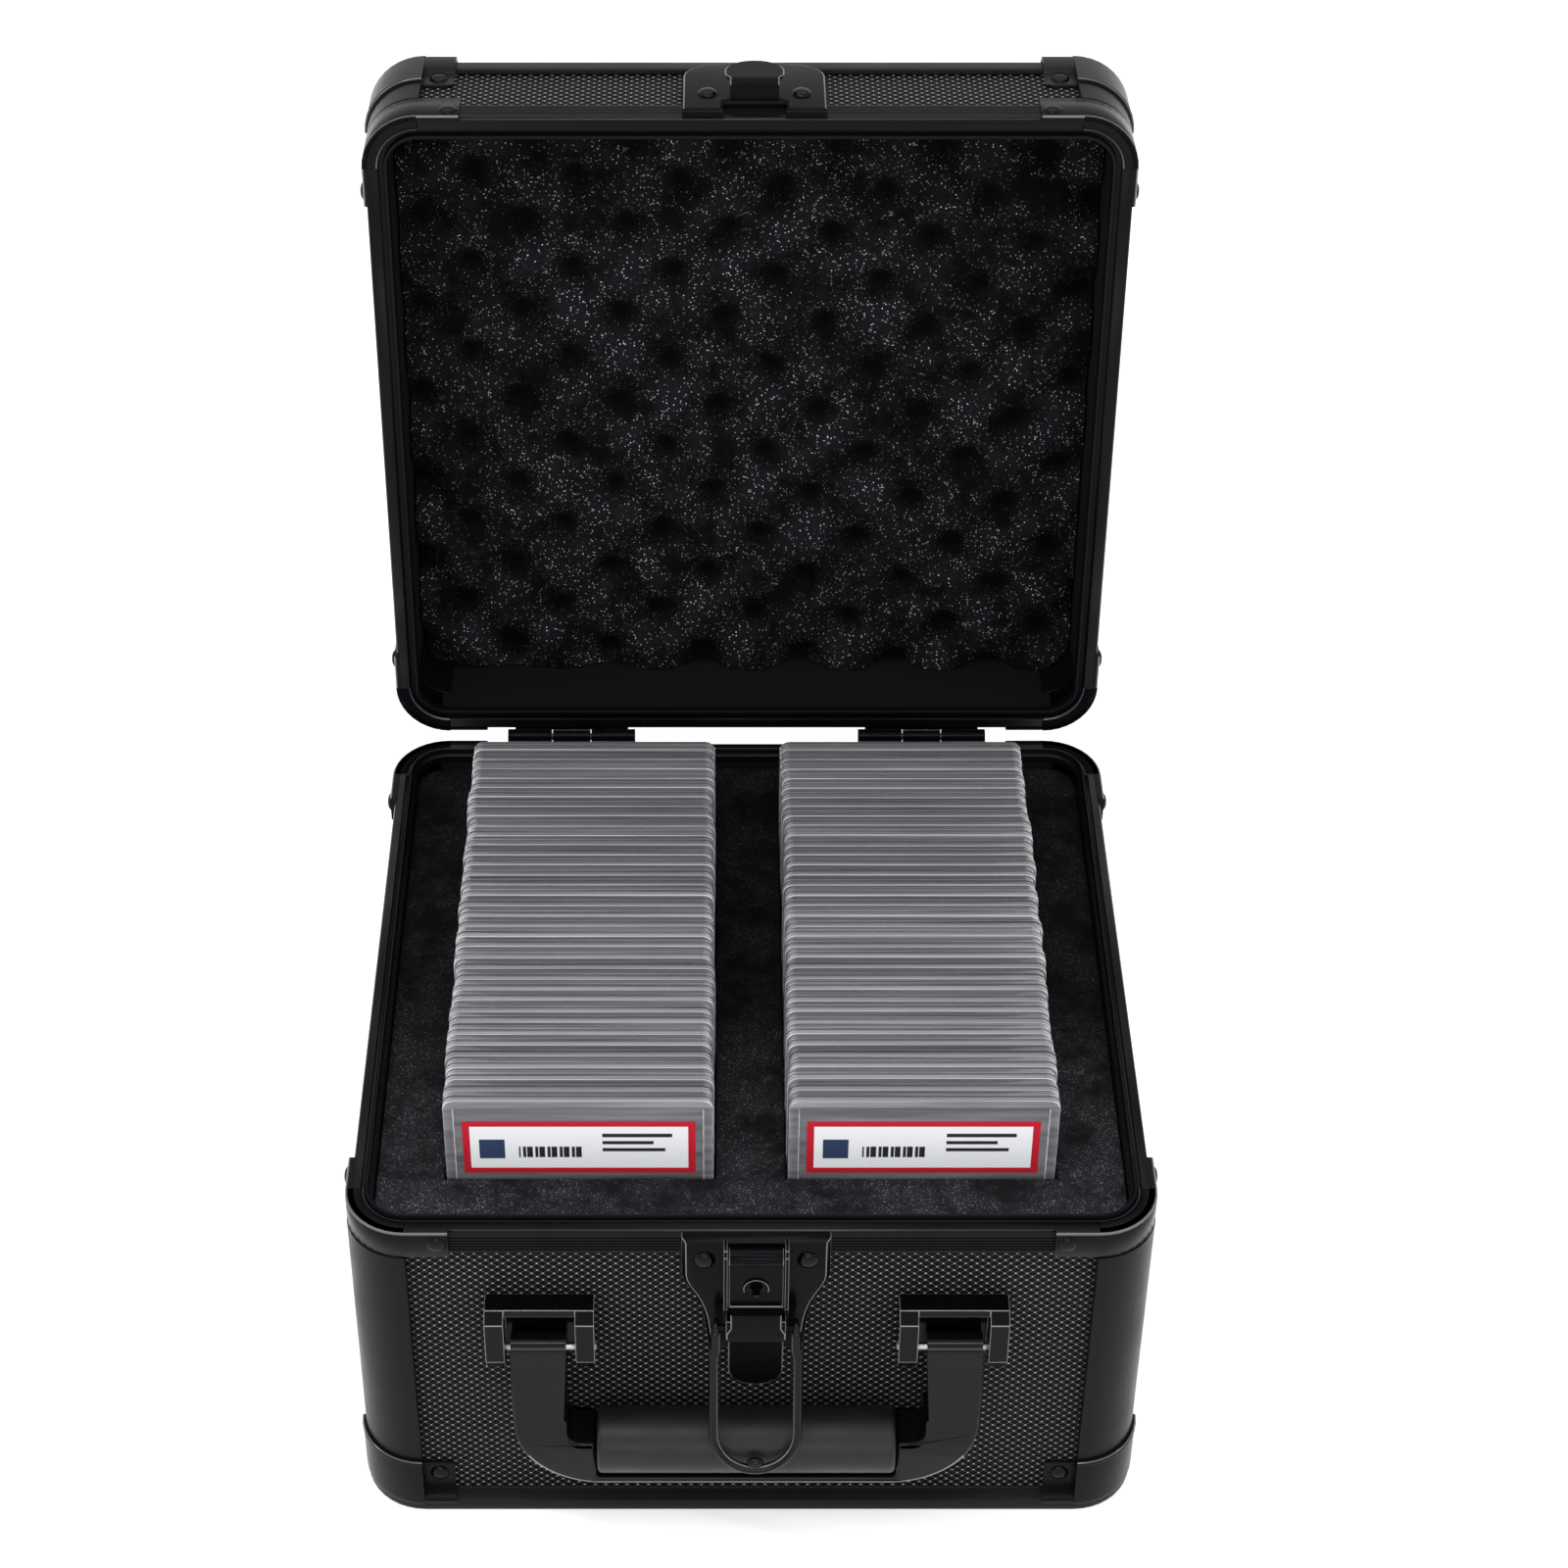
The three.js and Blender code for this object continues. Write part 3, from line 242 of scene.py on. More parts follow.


# The second finish of a piece paints a highlight on its edges
def mark_painted_highlight(piece, wanted):
    for face in piece.data.polygons:
        if wanted(face):
            face.material_index = 1


def paint_node(node, *finishes):
    finished(nodes[node], *finishes)


def select_faces(piece, wanted):
    bpy.ops.object.mode_set(mode="EDIT")
    bpy.ops.mesh.select_mode(type="FACE")
    bpy.ops.mesh.select_all(action="DESELECT")
    bpy.ops.object.mode_set(mode="OBJECT")
    for face in piece.data.polygons:
        face.select = wanted(face)
    bpy.ops.object.mode_set(mode="EDIT")


def select_edges(piece, wanted):
    bpy.ops.object.mode_set(mode="EDIT")
    bpy.ops.mesh.select_mode(type="EDGE")
    bpy.ops.mesh.select_all(action="DESELECT")
    bpy.ops.object.mode_set(mode="OBJECT")
    points = piece.data.vertices
    for line in piece.data.edges:
        line.select = wanted(points[line.vertices[0]].co, points[line.vertices[1]].co)
    bpy.ops.object.mode_set(mode="EDIT")


def joined(name, parts):
    bpy.ops.object.select_all(action="DESELECT")
    for part in parts:
        part.select_set(True)
    bpy.context.view_layer.objects.active = parts[0]
    if len(parts) > 1:
        bpy.ops.object.join()
    parts[0].name = name
    return parts[0]


def closed_up(piece, angle=35):
    bpy.ops.object.mode_set(mode="EDIT")
    bpy.ops.mesh.select_all(action="SELECT")
    bpy.ops.mesh.remove_doubles(threshold=0.003 * mm)
    bpy.ops.mesh.normals_make_consistent(inside=False)
    bpy.ops.object.mode_set(mode="OBJECT")
    bpy.ops.object.shade_smooth_by_angle(angle=math.radians(angle))


# A section is a list of (inset from the outer face, height) points in millimetres
def section_face(name, section, place):
    bpy.ops.object.select_all(action="DESELECT")
    bpy.ops.mesh.primitive_circle_add(vertices=len(section), radius=1, fill_type="NGON")
    piece = bpy.context.object
    piece.name = name
    for vertex, (inset, height) in zip(piece.data.vertices, section):
        vertex.co = place(inset * mm, height * mm)
    bpy.ops.object.mode_set(mode="EDIT")
    bpy.ops.mesh.select_mode(type="FACE")
    bpy.ops.mesh.select_all(action="SELECT")
    return piece


def draw_out(*moves):
    for move in moves:
        bpy.ops.mesh.extrude_region_move(TRANSFORM_OT_translate={"value": move})


corner_radius = 17 * mm
corner_steps = 10


def turn_corner(centre_x, centre_y):
    bpy.ops.mesh.spin(
        steps=corner_steps, angle=math.pi / 2, center=(centre_x, centre_y, 0), axis=(0, 0, -1))


# One frame, drawn round the case from the left end of its front; the corners are sunk where the
# pressed corners lie over them.
def bent_frame(name, section, sunk_to=None, sunk_inside=0.0):
    run_x = case_half.x - corner_radius
    run_y = case_half.y - corner_radius
    near, far = case_middle - run_y, case_middle + run_y
    seam = 0.3 * mm
    piece = section_face(name, section, lambda inset, height: (-run_x, front_face + inset, height))
    for way, run, centre in (
            ((1, 0), run_x, (run_x, near)), ((0, 1), run_y, (run_x, far)),
            ((-1, 0), run_x, (-run_x, far)), ((0, -1), run_y, (-run_x, near))):
        for length in (seam, 2 * run - 2 * seam, seam):
            draw_out((way[0] * length, way[1] * length, 0))
        turn_corner(*centre)
    select_faces(piece, lambda face: len(face.vertices) > 4)
    bpy.ops.mesh.delete(type="ONLY_FACE")
    closed_up(piece)
    if sunk_to is not None:
        for vertex in piece.data.vertices:
            x, y = abs(vertex.co.x), abs(vertex.co.y - case_middle)
            inset = corner_radius - math.hypot(x - run_x, y - run_y)
            if x > run_x - seam / 2 and y > run_y - seam / 2 and inset < sunk_inside:
                vertex.co.z = min(vertex.co.z, sunk_to)
    return piece


# One corner, drawn from its arm on the left side round to its arm on the front
def bent_corner(name, section, arm):
    centre_x = corner_radius - case_half.x
    centre_y = front_face + corner_radius
    piece = section_face(
        name, section, lambda inset, height: (-case_half.x + inset, centre_y + arm, height))
    if arm > 0:
        draw_out((0, -arm, 0))
    turn_corner(centre_x, centre_y)
    if arm > 0:
        draw_out((arm, 0, 0))
    closed_up(piece)
    return piece


def eased(piece, width, segments=2, angle=35, bright=False):
    bpy.ops.object.select_all(action="DESELECT")
    piece.select_set(True)
    bpy.context.view_layer.objects.active = piece
    edge = piece.modifiers.new("edge", "BEVEL")
    edge.width = width
    edge.segments = segments
    edge.limit_method = "ANGLE"
    edge.angle_limit = math.radians(angle)
    edge.material = 1 if bright else -1
    bpy.ops.object.modifier_apply(modifier="edge")
    bpy.ops.object.shade_smooth_by_angle(angle=math.radians(35))


# Puts a front left corner of a shell at all four corners
def four_corners(piece, shell, kind):
    places = {
        ("front", "left"): Matrix.Identity(4),
        ("front", "right"): Matrix.Diagonal((-1, 1, 1, 1)),
        ("back", "left"): Matrix.Translation((0, 2 * case_middle, 0)) @ Matrix.Diagonal((1, -1, 1, 1)),
        ("back", "right"): Matrix.Translation((0, 2 * case_middle, 0)) @ Matrix.Diagonal((-1, -1, 1, 1)),
    }
    for (depth, side), place in places.items():
        made = piece.copy()
        made.data = piece.data.copy()
        scene.collection.objects.link(made)
        made.data.transform(shell_place[shell] @ place)
        bpy.ops.object.select_all(action="DESELECT")
        made.select_set(True)
        bpy.context.view_layer.objects.active = made
        bpy.ops.object.mode_set(mode="EDIT")
        bpy.ops.mesh.select_all(action="SELECT")
        bpy.ops.mesh.normals_make_consistent(inside=False)
        bpy.ops.object.mode_set(mode="OBJECT")
        if shell == "lid":
            depth = "back" if depth == "front" else "front"
        made.name = f"{shell}_{depth}_{side}_{kind}_pressing"
        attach(made, shell)
        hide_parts(f"{shell}_{depth}_{side}_{kind}")
    bpy.data.objects.remove(piece)


satin_black = coat("satin_black_frame", (0.003, 0.003, 0.0042), 0.32, 0.08)
corner_black = coat("gloss_black_corner", (0.003, 0.003, 0.0042), 0.25, 0.08, depth=0.04)
# The edge finishes paint a highlight: a lighter base colour on a glossier coat.
edge_highlight_coat = coat("painted_edge_highlight", (0.05, 0.05, 0.054), 0.2, 0.9, depth=0.02)
faint_highlight_coat = coat("faint_highlight_coat", (0.009, 0.009, 0.01), 0.3, 0.35, depth=0.02)
rail_black = coat("satin_black_rail", (0.014, 0.014, 0.0155), 0.35, 0.06)
rail_out = {"base": 2.4, "lid": 1.3}
rail_top = {"base": 5.8, "lid": 10.3}
soften("lid_rail_frame", 0.5 * mm, segments=3)
paint_node("lid_rail_frame", rail_black)
rail = bent_frame("base_rail_extrusion", [
    (12, 0.2), (-1.6, 0.2), (-2.2, 0.5), (-2.4, 1.1), (-2.4, 4.2), (-2.2, 4.8), (-1.7, 5.1), (1.9, 5.7),
    (2.1, 6.2), (3.1, 6.2), (3.1, 2.4), (12, 2.4)])
finished(rail, rail_black)
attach(rail, "base")
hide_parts("base_rail_frame")

# Rim frames. Extruded aluminium, lacquered satin black, bent round the corners: a rounded lip, five
# fine grooves along the outside, and the tongue of the base or the groove and inner lip of the lid.
def rim_section(height, inner):
    grooves = []
    for low in (8.6, 7.4, 6.2, 5.0, 3.8):
        grooves += [(0, height - low), (0.35, height - low + 0.1), (0.35, height - low + 0.5),
                    (0, height - low + 0.6)]
    lip = [(0, height - 1.1), (0.12, height - 0.5), (0.45, height - 0.12), (1.0, height)]
    return [(1.9, height - 10), (0, height - 10)] + grooves + lip + [
        (inset, height + up) for inset, up in inner] + [(1.9, height - 3)]


tongue = [(2.9, 0), (3.2, -0.7), (4.0, -0.8), (4.45, -0.5), (4.5, 1.1), (4.7, 1.5), (4.95, 1.6), (5.2, 1.5),
          (5.4, 1.1), (5.5, -0.2), (6.1, -0.4), (6.5, -0.8), (6.6, -1.4), (6.6, -3)]
groove = [(3.8, 0), (4.15, -0.25), (4.2, -1.9), (5.7, -1.9), (5.75, -0.5), (6.0, -0.12), (6.4, 0),
          (6.9, -0.1), (7.2, -0.5), (7.3, -1.2), (7.3, -3)]
for shell, inner in (("base", tongue), ("lid", groove)):
    height = shell_height[shell]
    rim = bent_frame(f"{shell}_rim_extrusion", rim_section(height / mm, inner), height - 1.0 * mm, 4.2 * mm)
    finished(rim, satin_black, faint_highlight_coat)
    # A faint painted highlight on the lip's rounding near the corners.
    mark_painted_highlight(rim, lambda face: face.center.z > height - 0.8 * mm and 0.2 < face.normal.z < 0.85 and min(
        case_half.x - abs(face.center.x), case_half.y - abs(face.center.y - case_middle)) < 1.1 * mm)
    rim.data.transform(shell_place[shell])
    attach(rim, shell)
    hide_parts(f"{shell}_rim_frame")

# Corner posts, pressed rim corners and caps
clip_height = {"base": 10, "lid": 13}
cap_height = {"base": 24, "lid": 21}
cap_proud = {"base": 2.9, "lid": 1.8}
arm_top = {"base": 19.4, "lid": 19.7}
cap_rivet_up = {"base": 14.8, "lid": 15.5}
# The lid's caps are painted lighter than the base's: painted light, as the lamps above fall on the lid.
cap_black = {
    "base": coat("gloss_black_cap", (0.006, 0.006, 0.0075), 0.28, 0.05, depth=0.04),
    "lid": coat("lid_cap_painted_lighter", (0.016, 0.016, 0.0175), 0.28, 0.06, depth=0.04)}
post_proud = {"base": 1.9, "lid": 0.9}
clip_proud = {"base": 1.7, "lid": 0.9}
for shell in ("base", "lid"):
    height = shell_height[shell] / mm
    post_low = rail_top[shell] + 0.5
    post_high = height - clip_height[shell] - 0.3
    post = bent_corner(f"{shell}_post", [
        (-post_proud[shell], post_low), (-post_proud[shell], post_high), (6.2, post_high), (6.2, post_low)], 0)
    finished(post, satin_black)
    eased(post, 0.35 * mm)
    four_corners(post, shell, "post")

    low = height - clip_height[shell]
    out = clip_proud[shell]
    skirt = bent_corner("skirt", [
        (0.2 - out, low), (-out, low + 0.3), (-out, height - 0.5), (0.2 - out, height - 0.12),
        (0.6 - out, height), (0.9, height), (0.9, low)], 13 * mm)
    select_edges(skirt, lambda a, b: (
        abs(a.z - b.z) < 1e-6 and abs(a.z - low * mm) < 1e-6 and (
            min(a.y, b.y) > front_face + 29 * mm or min(a.x, b.x) > -case_half.x + 29 * mm)))
    bpy.ops.mesh.bevel(offset=2.2 * mm, segments=4)
    bpy.ops.object.mode_set(mode="OBJECT")
    flange = bent_corner("flange", [
        (-0.9, height - 0.7), (-0.9, height), (3.6, height), (3.9, height - 0.15), (4.0, height - 0.7)], 0)
    clip = joined("clip", [skirt, flange])
    finished(clip, corner_black, edge_highlight_coat)
    # A painted highlight along the rounding of the top edge.
    mark_painted_highlight(clip, lambda face: height - 0.55 < face.center.z / mm < height - 0.02)
    four_corners(clip, shell, "rim_corner")

    rail = rail_top[shell] + 1
    top = cap_height[shell]
    high = arm_top[shell]
    arm_out = rail_out[shell] + 0.3
    arm_face = 0.9
    arm_sunk = 0.2
    proud = cap_proud[shell]
    shell_wall = []
    inner_wall = []
    for step in range(7):
        angle = math.pi / 2 * step / 6
        shell_wall.append((5 - proud - 5 * math.sin(angle), 5 - 5 * math.cos(angle)))
        inner_wall.append((5 - proud - 4 * math.sin(angle), 5 - 4 * math.cos(angle)))
    bead = [(-proud, top - 1.6), (-proud - 0.25, top - 1.3), (-proud - 0.3, top - 0.8),
            (-proud - 0.15, top - 0.3), (0.2 - proud, top), (1 - proud, top)]
    outer = [(14, 0)] + shell_wall + bead + list(reversed(inner_wall)) + [(14, 1)]
    round_part = bent_corner("round_part", outer, 0)
    arm_low = []
    arm_inner = []
    for step in range(7):
        angle = math.pi / 2 * step / 6
        arm_low.append((5 - arm_out - 5 * math.sin(angle), 5 + arm_sunk - 5 * math.cos(angle)))
        arm_inner.append((5 - arm_out - 4 * math.sin(angle), 5 + arm_sunk - 4 * math.cos(angle)))
    arm_section = [(14, arm_sunk)] + arm_low + [
        (-arm_out, rail - 1.8), (0.3 - arm_out, rail - 0.8), (1.1 - arm_out, rail - 0.2), (arm_face, rail + 0.3),
        (arm_face, high - 0.3), (arm_face + 0.3, high), (arm_face + 1, high),
        (arm_face + 1, rail - 0.4), (1.2 - arm_out, rail - 1.2)] + list(reversed(arm_inner)) + [(14, 1 + arm_sunk)]
    arms = bent_corner("arms", arm_section, 10 * mm)
    select_edges(arms, lambda a, b: (
        abs(a.z - b.z) < 1e-6 and abs(a.z - high * mm) < 1e-6 and (
            min(a.y, b.y) > front_face + 26 * mm or min(a.x, b.x) > -case_half.x + 26 * mm)))
    bpy.ops.mesh.bevel(offset=3 * mm, segments=5)
    bpy.ops.object.mode_set(mode="OBJECT")
    cap = joined("cap", [round_part, arms])
    finished(cap, cap_black[shell], edge_highlight_coat)
    # A painted highlight along the rounding of the cap's top.
    mark_painted_highlight(cap, lambda face: face.center.z / mm > top - 0.5 and 0.2 < face.normal.z < 0.95)
    four_corners(cap, shell, "cap")

# Boards. Fibreboard faced with a black sheet that is embossed with a mesh of diamonds; each wall is
# held behind the rails and posts.
diamond_width = 3.38
diamond_height = 2.9
mesh_group, group_in, group_out = group_tree("diamond_mesh", {"Across": 0.0, "Along": 0.0}, ["Height", "Pit", "KnotGlint"])
across = math_node(mesh_group, "DIVIDE", group_in.outputs["Across"], diamond_width * mm)
along = math_node(mesh_group, "DIVIDE", group_in.outputs["Along"], diamond_height * mm)
rising = math_node(mesh_group, "PINGPONG", math_node(mesh_group, "ADD", across, along), 0.5)
falling = math_node(mesh_group, "PINGPONG", math_node(mesh_group, "SUBTRACT", across, along), 0.5)
nearest = math_node(mesh_group, "MINIMUM", rising, falling)
pit = add_node(mesh_group, "ShaderNodeMapRange", {
    "Value": nearest, "From Min": 0.03, "From Max": 0.21}, interpolation_type="SMOOTHSTEP")
crossing = math_node(mesh_group, "MAXIMUM", rising, falling)
knot = add_node(mesh_group, "ShaderNodeMapRange", {
    "Value": crossing, "From Min": 0.0, "From Max": 0.24, "To Min": 0.45, "To Max": 0.0},
    interpolation_type="SMOOTHSTEP")
raised = math_node(mesh_group, "SUBTRACT", 1.0, pit.outputs[0])
mesh_group.links.new(math_node(mesh_group, "ADD", raised, knot.outputs[0]), group_out.inputs["Height"])
mesh_group.links.new(pit.outputs[0], group_out.inputs["Pit"])
# A painted glint at each knot where the ridges cross.
knot_glint = add_node(mesh_group, "ShaderNodeMapRange", {
    "Value": crossing, "From Min": 0.04, "From Max": 0.16, "To Min": 1.0, "To Max": 0.0})
mesh_group.links.new(knot_glint.outputs[0], group_out.inputs["KnotGlint"])


board_middle = {
    "base": Vector((0, case_middle, rim_plane / 2)), "lid": Vector((0, case_middle, lid_plane + lid_height / 2))}
board_half = {
    "base": Vector((case_half.x, case_half.y, rim_plane / 2)),
    "lid": Vector((case_half.x, case_half.y, lid_height / 2))}
sheet_depth = {"X": 2.6 * mm, "Y": 2.6 * mm, "Z": 5 * mm}
hinge_offset = hinge_line - Matrix.Rotation(-open_turn, 3, "X") @ hinge_line


# Past the depth of the embossed sheet, the board's inner face has a plain dark lining
def embossed_sheet(shell, kind, across_axis, along_axis, wall_axis):
    made, tree, output = new_material(f"{shell}_{kind}_sheet")
    place = add_node(tree, "ShaderNodeTexCoord").outputs["Object"]
    if shell == "lid":
        place = add_node(tree, "ShaderNodeMapping", {
            "Vector": place, "Location": hinge_offset, "Rotation": (-open_turn, 0, 0)}).outputs[0]
    axes = add_node(tree, "ShaderNodeSeparateXYZ", {0: place})
    wall = "XYZ".index(wall_axis)
    off_middle = math_node(tree, "ABSOLUTE", math_node(
        tree, "SUBTRACT", axes.outputs[wall_axis], board_middle[shell][wall]))
    lined = math_node(tree, "LESS_THAN", off_middle, board_half[shell][wall] - sheet_depth[wall_axis])
    faced = math_node(tree, "SUBTRACT", 1.0, lined)
    diamonds = add_node(tree, "ShaderNodeGroup", {
        "Across": axes.outputs[across_axis], "Along": axes.outputs[along_axis]}, node_tree=mesh_group)
    fine = add_node(tree, "ShaderNodeGroup", {"Grain": 900.0, "Patch": 40.0}, node_tree=coat_group)
    # The pits are painted near black as shade, and the knots carry a painted glint in the base colour.
    tint = add_node(tree, "ShaderNodeMix", {
        0: diamonds.outputs["Pit"], 6: (0.028, 0.028, 0.031, 1), 7: (0.0003, 0.0003, 0.0004, 1)},
        data_type="RGBA")
    tint = add_node(tree, "ShaderNodeMix", {
        0: diamonds.outputs["KnotGlint"], 6: tint.outputs[2], 7: (0.6, 0.6, 0.62, 1)}, data_type="RGBA")
    shown = add_node(tree, "ShaderNodeMix", {
        0: lined, 6: tint.outputs[2], 7: (0.0045, 0.0043, 0.0052, 1)}, data_type="RGBA")
    rough = add_node(tree, "ShaderNodeMapRange", {
        "Value": math_node(tree, "MAXIMUM", diamonds.outputs["Pit"], lined), "To Min": 0.24, "To Max": 0.8})
    emboss = add_node(tree, "ShaderNodeBump", {
        "Height": math_node(tree, "MULTIPLY", diamonds.outputs["Height"], faced),
        "Distance": 0.5 * mm, "Strength": 1.0})
    grain = add_node(tree, "ShaderNodeBump", {
        "Height": fine.outputs["Height"], "Distance": 0.05 * mm, "Strength": 0.1,
        "Normal": emboss.outputs[0]})
    shader = add_node(tree, "ShaderNodeBsdfPrincipled", {
        "Base Color": shown.outputs[2], "Roughness": rough.outputs[0], "Specular IOR Level": 0.12,
        "Normal": grain.outputs[0]})
    tree.links.new(shader.outputs[0], output.inputs[0])
    return made


for shell in ("base", "lid"):
    end_sheet = embossed_sheet(shell, "end", "X", "Z", "Y")
    side_sheet = embossed_sheet(shell, "side", "Y", "Z", "X")
    floor_sheet = embossed_sheet(shell, "floor", "X", "Y", "Z")
    for wall, finish in (
            ("front", end_sheet), ("back", end_sheet), ("left", side_sheet), ("right", side_sheet),
            ("floor", floor_sheet)):
        paint_node(f"{shell}_{wall}_board", finish)

# Rivets. Steel domes that hold the pressed corners and the caps to the frames.
rivet_radius = 2.95 * mm
rivet_height = 1.3 * mm
rivet_black = coat("rivet_black", (0.0015, 0.0015, 0.002), 0.14, 0.13, depth=0.02)


def rivet_head(name, place, outwards, body, height=rivet_height, radius=rivet_radius):
    bpy.ops.mesh.primitive_uv_sphere_add(segments=24, ring_count=16, radius=1)
    head = bpy.context.object
    head.name = name
    bpy.ops.object.mode_set(mode="EDIT")
    bpy.ops.mesh.select_all(action="SELECT")
    bpy.ops.mesh.bisect(plane_co=(0, 0, -0.25), plane_no=(0, 0, 1), clear_inner=True, use_fill=True)
    bpy.ops.object.mode_set(mode="OBJECT")
    bpy.ops.object.shade_smooth_by_angle(angle=math.radians(40))
    aim = Vector(outwards).to_track_quat("Z", "Y").to_matrix().to_4x4()
    head.data.transform(
        shell_place[body] @ Matrix.Translation(place) @ aim @ Matrix.Diagonal((radius, radius, height, 1)))
    head.data.materials.append(rivet_black)
    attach(head, body)
    return head


clip_rivet_in = 26.5 * mm
clip_rivet_drop = 4.4 * mm
cap_rivet_in = 22 * mm
cap_sunk = 0.9 * mm
for shell in ("base", "lid"):
    rim_height = shell_height[shell] - clip_rivet_drop
    cap_rivet_height = cap_rivet_up[shell] * mm
    for sign_x, side in ((-1, "left"), (1, "right")):
        for sign_y, depth in ((-1, "front"), (1, "back")):
            if shell == "lid":
                depth = "back" if depth == "front" else "front"
            name = f"{shell}_{depth}_{side}"
            for kind, reach, proud, height in (
                    ("rim", clip_rivet_in, clip_proud[shell] * mm, rim_height),
                    ("cap", cap_rivet_in, -cap_sunk, cap_rivet_height)):
                along_x = (sign_x * (case_half.x - reach),
                           case_middle + sign_y * (case_half.y + proud), height)
                along_y = (sign_x * (case_half.x + proud),
                           case_middle + sign_y * (case_half.y - reach), height)
                rivet_head(f"{name}_{kind}_rivet_a", along_x, (0, sign_y, 0), shell)
                rivet_head(f"{name}_{kind}_rivet_b", along_y, (sign_x, 0, 0), shell)


# Foam. Open-celled charcoal foam: a soft mat surface, dark in its cells, with painted glints: tiny white specks in the
# base colour where cut cell walls catch the light.
foam_group, group_in, group_out = group_tree(
    "open_foam", {"Cell": 1700.0, "Patch": 70.0, "Share": 0.12}, ["Height", "Glint", "Tone"])
coords = add_node(foam_group, "ShaderNodeTexCoord")
cells = add_node(foam_group, "ShaderNodeTexVoronoi", {
    "Vector": coords.outputs["Object"], "Scale": group_in.outputs["Cell"]})
cell_pick = add_node(foam_group, "ShaderNodeSeparateColor", {0: cells.outputs["Color"]})
patch = add_node(foam_group, "ShaderNodeTexNoise", {
    "Vector": coords.outputs["Object"], "Scale": group_in.outputs["Patch"], "Detail": 5.0, "Roughness": 0.7})
bright_cell = add_node(foam_group, "ShaderNodeMapRange", {
    "Value": cell_pick.outputs[0], "From Min": math_node(foam_group, "SUBTRACT", 1.0, group_in.outputs["Share"]),
    "From Max": 1.0}, interpolation_type="LINEAR")
in_cell = add_node(foam_group, "ShaderNodeMapRange", {
    "Value": cells.outputs["Distance"], "From Min": 0.25, "From Max": 0.5, "To Min": 1.0, "To Max": 0.0})
spark = math_node(foam_group, "MULTIPLY", bright_cell.outputs[0], in_cell.outputs[0])
patchy = add_node(foam_group, "ShaderNodeMapRange", {
    "Value": patch.outputs["Fac"], "From Min": 0.38, "From Max": 0.6})
foam_group.links.new(math_node(foam_group, "MULTIPLY", spark, patchy.outputs[0]), group_out.inputs["Glint"])
foam_group.links.new(cells.outputs["Distance"], group_out.inputs["Height"])
foam_group.links.new(patchy.outputs[0], group_out.inputs["Tone"])


def foam_finish(name, dark, light, glint, share, front=0.0, back=0.0, cell=1700.0, depth=1.0):
    made, tree, output = new_material(name)
    foam = add_node(tree, "ShaderNodeGroup", {"Share": share, "Cell": cell}, node_tree=foam_group)
    ground = add_node(tree, "ShaderNodeMix", {
        0: foam.outputs["Tone"], 6: (*dark, 1), 7: (*light, 1)}, data_type="RGBA")
    pit_shade = add_node(tree, "ShaderNodeAttribute", attribute_name="pit_shade")
    open_part = math_node(tree, "SUBTRACT", 1.0, pit_shade.outputs["Fac"], clamp=True)
    # Painted glints: white specks in the base colour, kept out of the pits.
    shown = math_node(tree, "MULTIPLY", foam.outputs["Glint"], open_part)
    tint = add_node(tree, "ShaderNodeMix", {
        0: shown, 6: ground.outputs[2], 7: (*glint, 1)}, data_type="RGBA")
    # Painted shade: the colour goes near black where the mesh marks its pits.
    darker = add_node(tree, "ShaderNodeMix", {
        0: pit_shade.outputs["Fac"], 6: tint.outputs[2], 7: (0.001, 0.001, 0.0012, 1)}, data_type="RGBA")
    bump = add_node(tree, "ShaderNodeBump", {
        "Height": foam.outputs["Height"], "Distance": 0.25 * mm, "Strength": depth})
    # Painted light and shade: the colour is brightened at the front and darkened towards the back, where the open lid
    # shades the foam.
    if back > front:
        axes = add_node(tree, "ShaderNodeSeparateXYZ", {0: add_node(tree, "ShaderNodeTexCoord").outputs["Object"]})
        front_light_back_shade = add_node(tree, "ShaderNodeMapRange", {
            "Value": axes.outputs["Y"], "From Min": front, "From Max": back, "To Min": 1.8, "To Max": 0.4})
        darker = add_node(tree, "ShaderNodeMix", {
            0: front_light_back_shade.outputs[0], 6: (0, 0, 0, 1), 7: darker.outputs[2]}, data_type="RGBA", clamp_factor=False)
    shader = add_node(tree, "ShaderNodeBsdfPrincipled", {
        "Base Color": darker.outputs[2], "Roughness": 0.95, "Specular IOR Level": 0.06,
        "Normal": bump.outputs[0]})
    tree.links.new(shader.outputs[0], output.inputs[0])
    return made


# Lid foam: an egg-crate sheet glued under the top board. Its deep round pits stand in alternate rows
# between broad soft hills.
egg_foam = foam_finish("egg_crate_foam", (0.002, 0.0019, 0.0024), (0.0085, 0.008, 0.010), (0.7, 0.7, 0.74), 0.16)
egg_low, egg_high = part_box("lid_egg_crate_foam")
rim_inner = 6.9 * mm
egg_half = Vector((case_half.x - rim_inner, case_half.y - rim_inner))
egg_corner = 10 * mm
egg_back = 39 * mm
egg_mean = 31 * mm
egg_wave = 4.6 * mm
egg_pitch = Vector((33.4 * mm, 33.1 * mm))
egg_pit = Vector((11.2 * mm, front_face + 38.2 * mm))
egg_turn = math.radians(3)
bpy.ops.mesh.primitive_grid_add(x_subdivisions=128, y_subdivisions=124, size=2)
egg = bpy.context.object
egg.name = "egg_crate_sheet"
egg.data.transform(Matrix.Diagonal((egg_half.x, egg_half.y, 1, 1)))
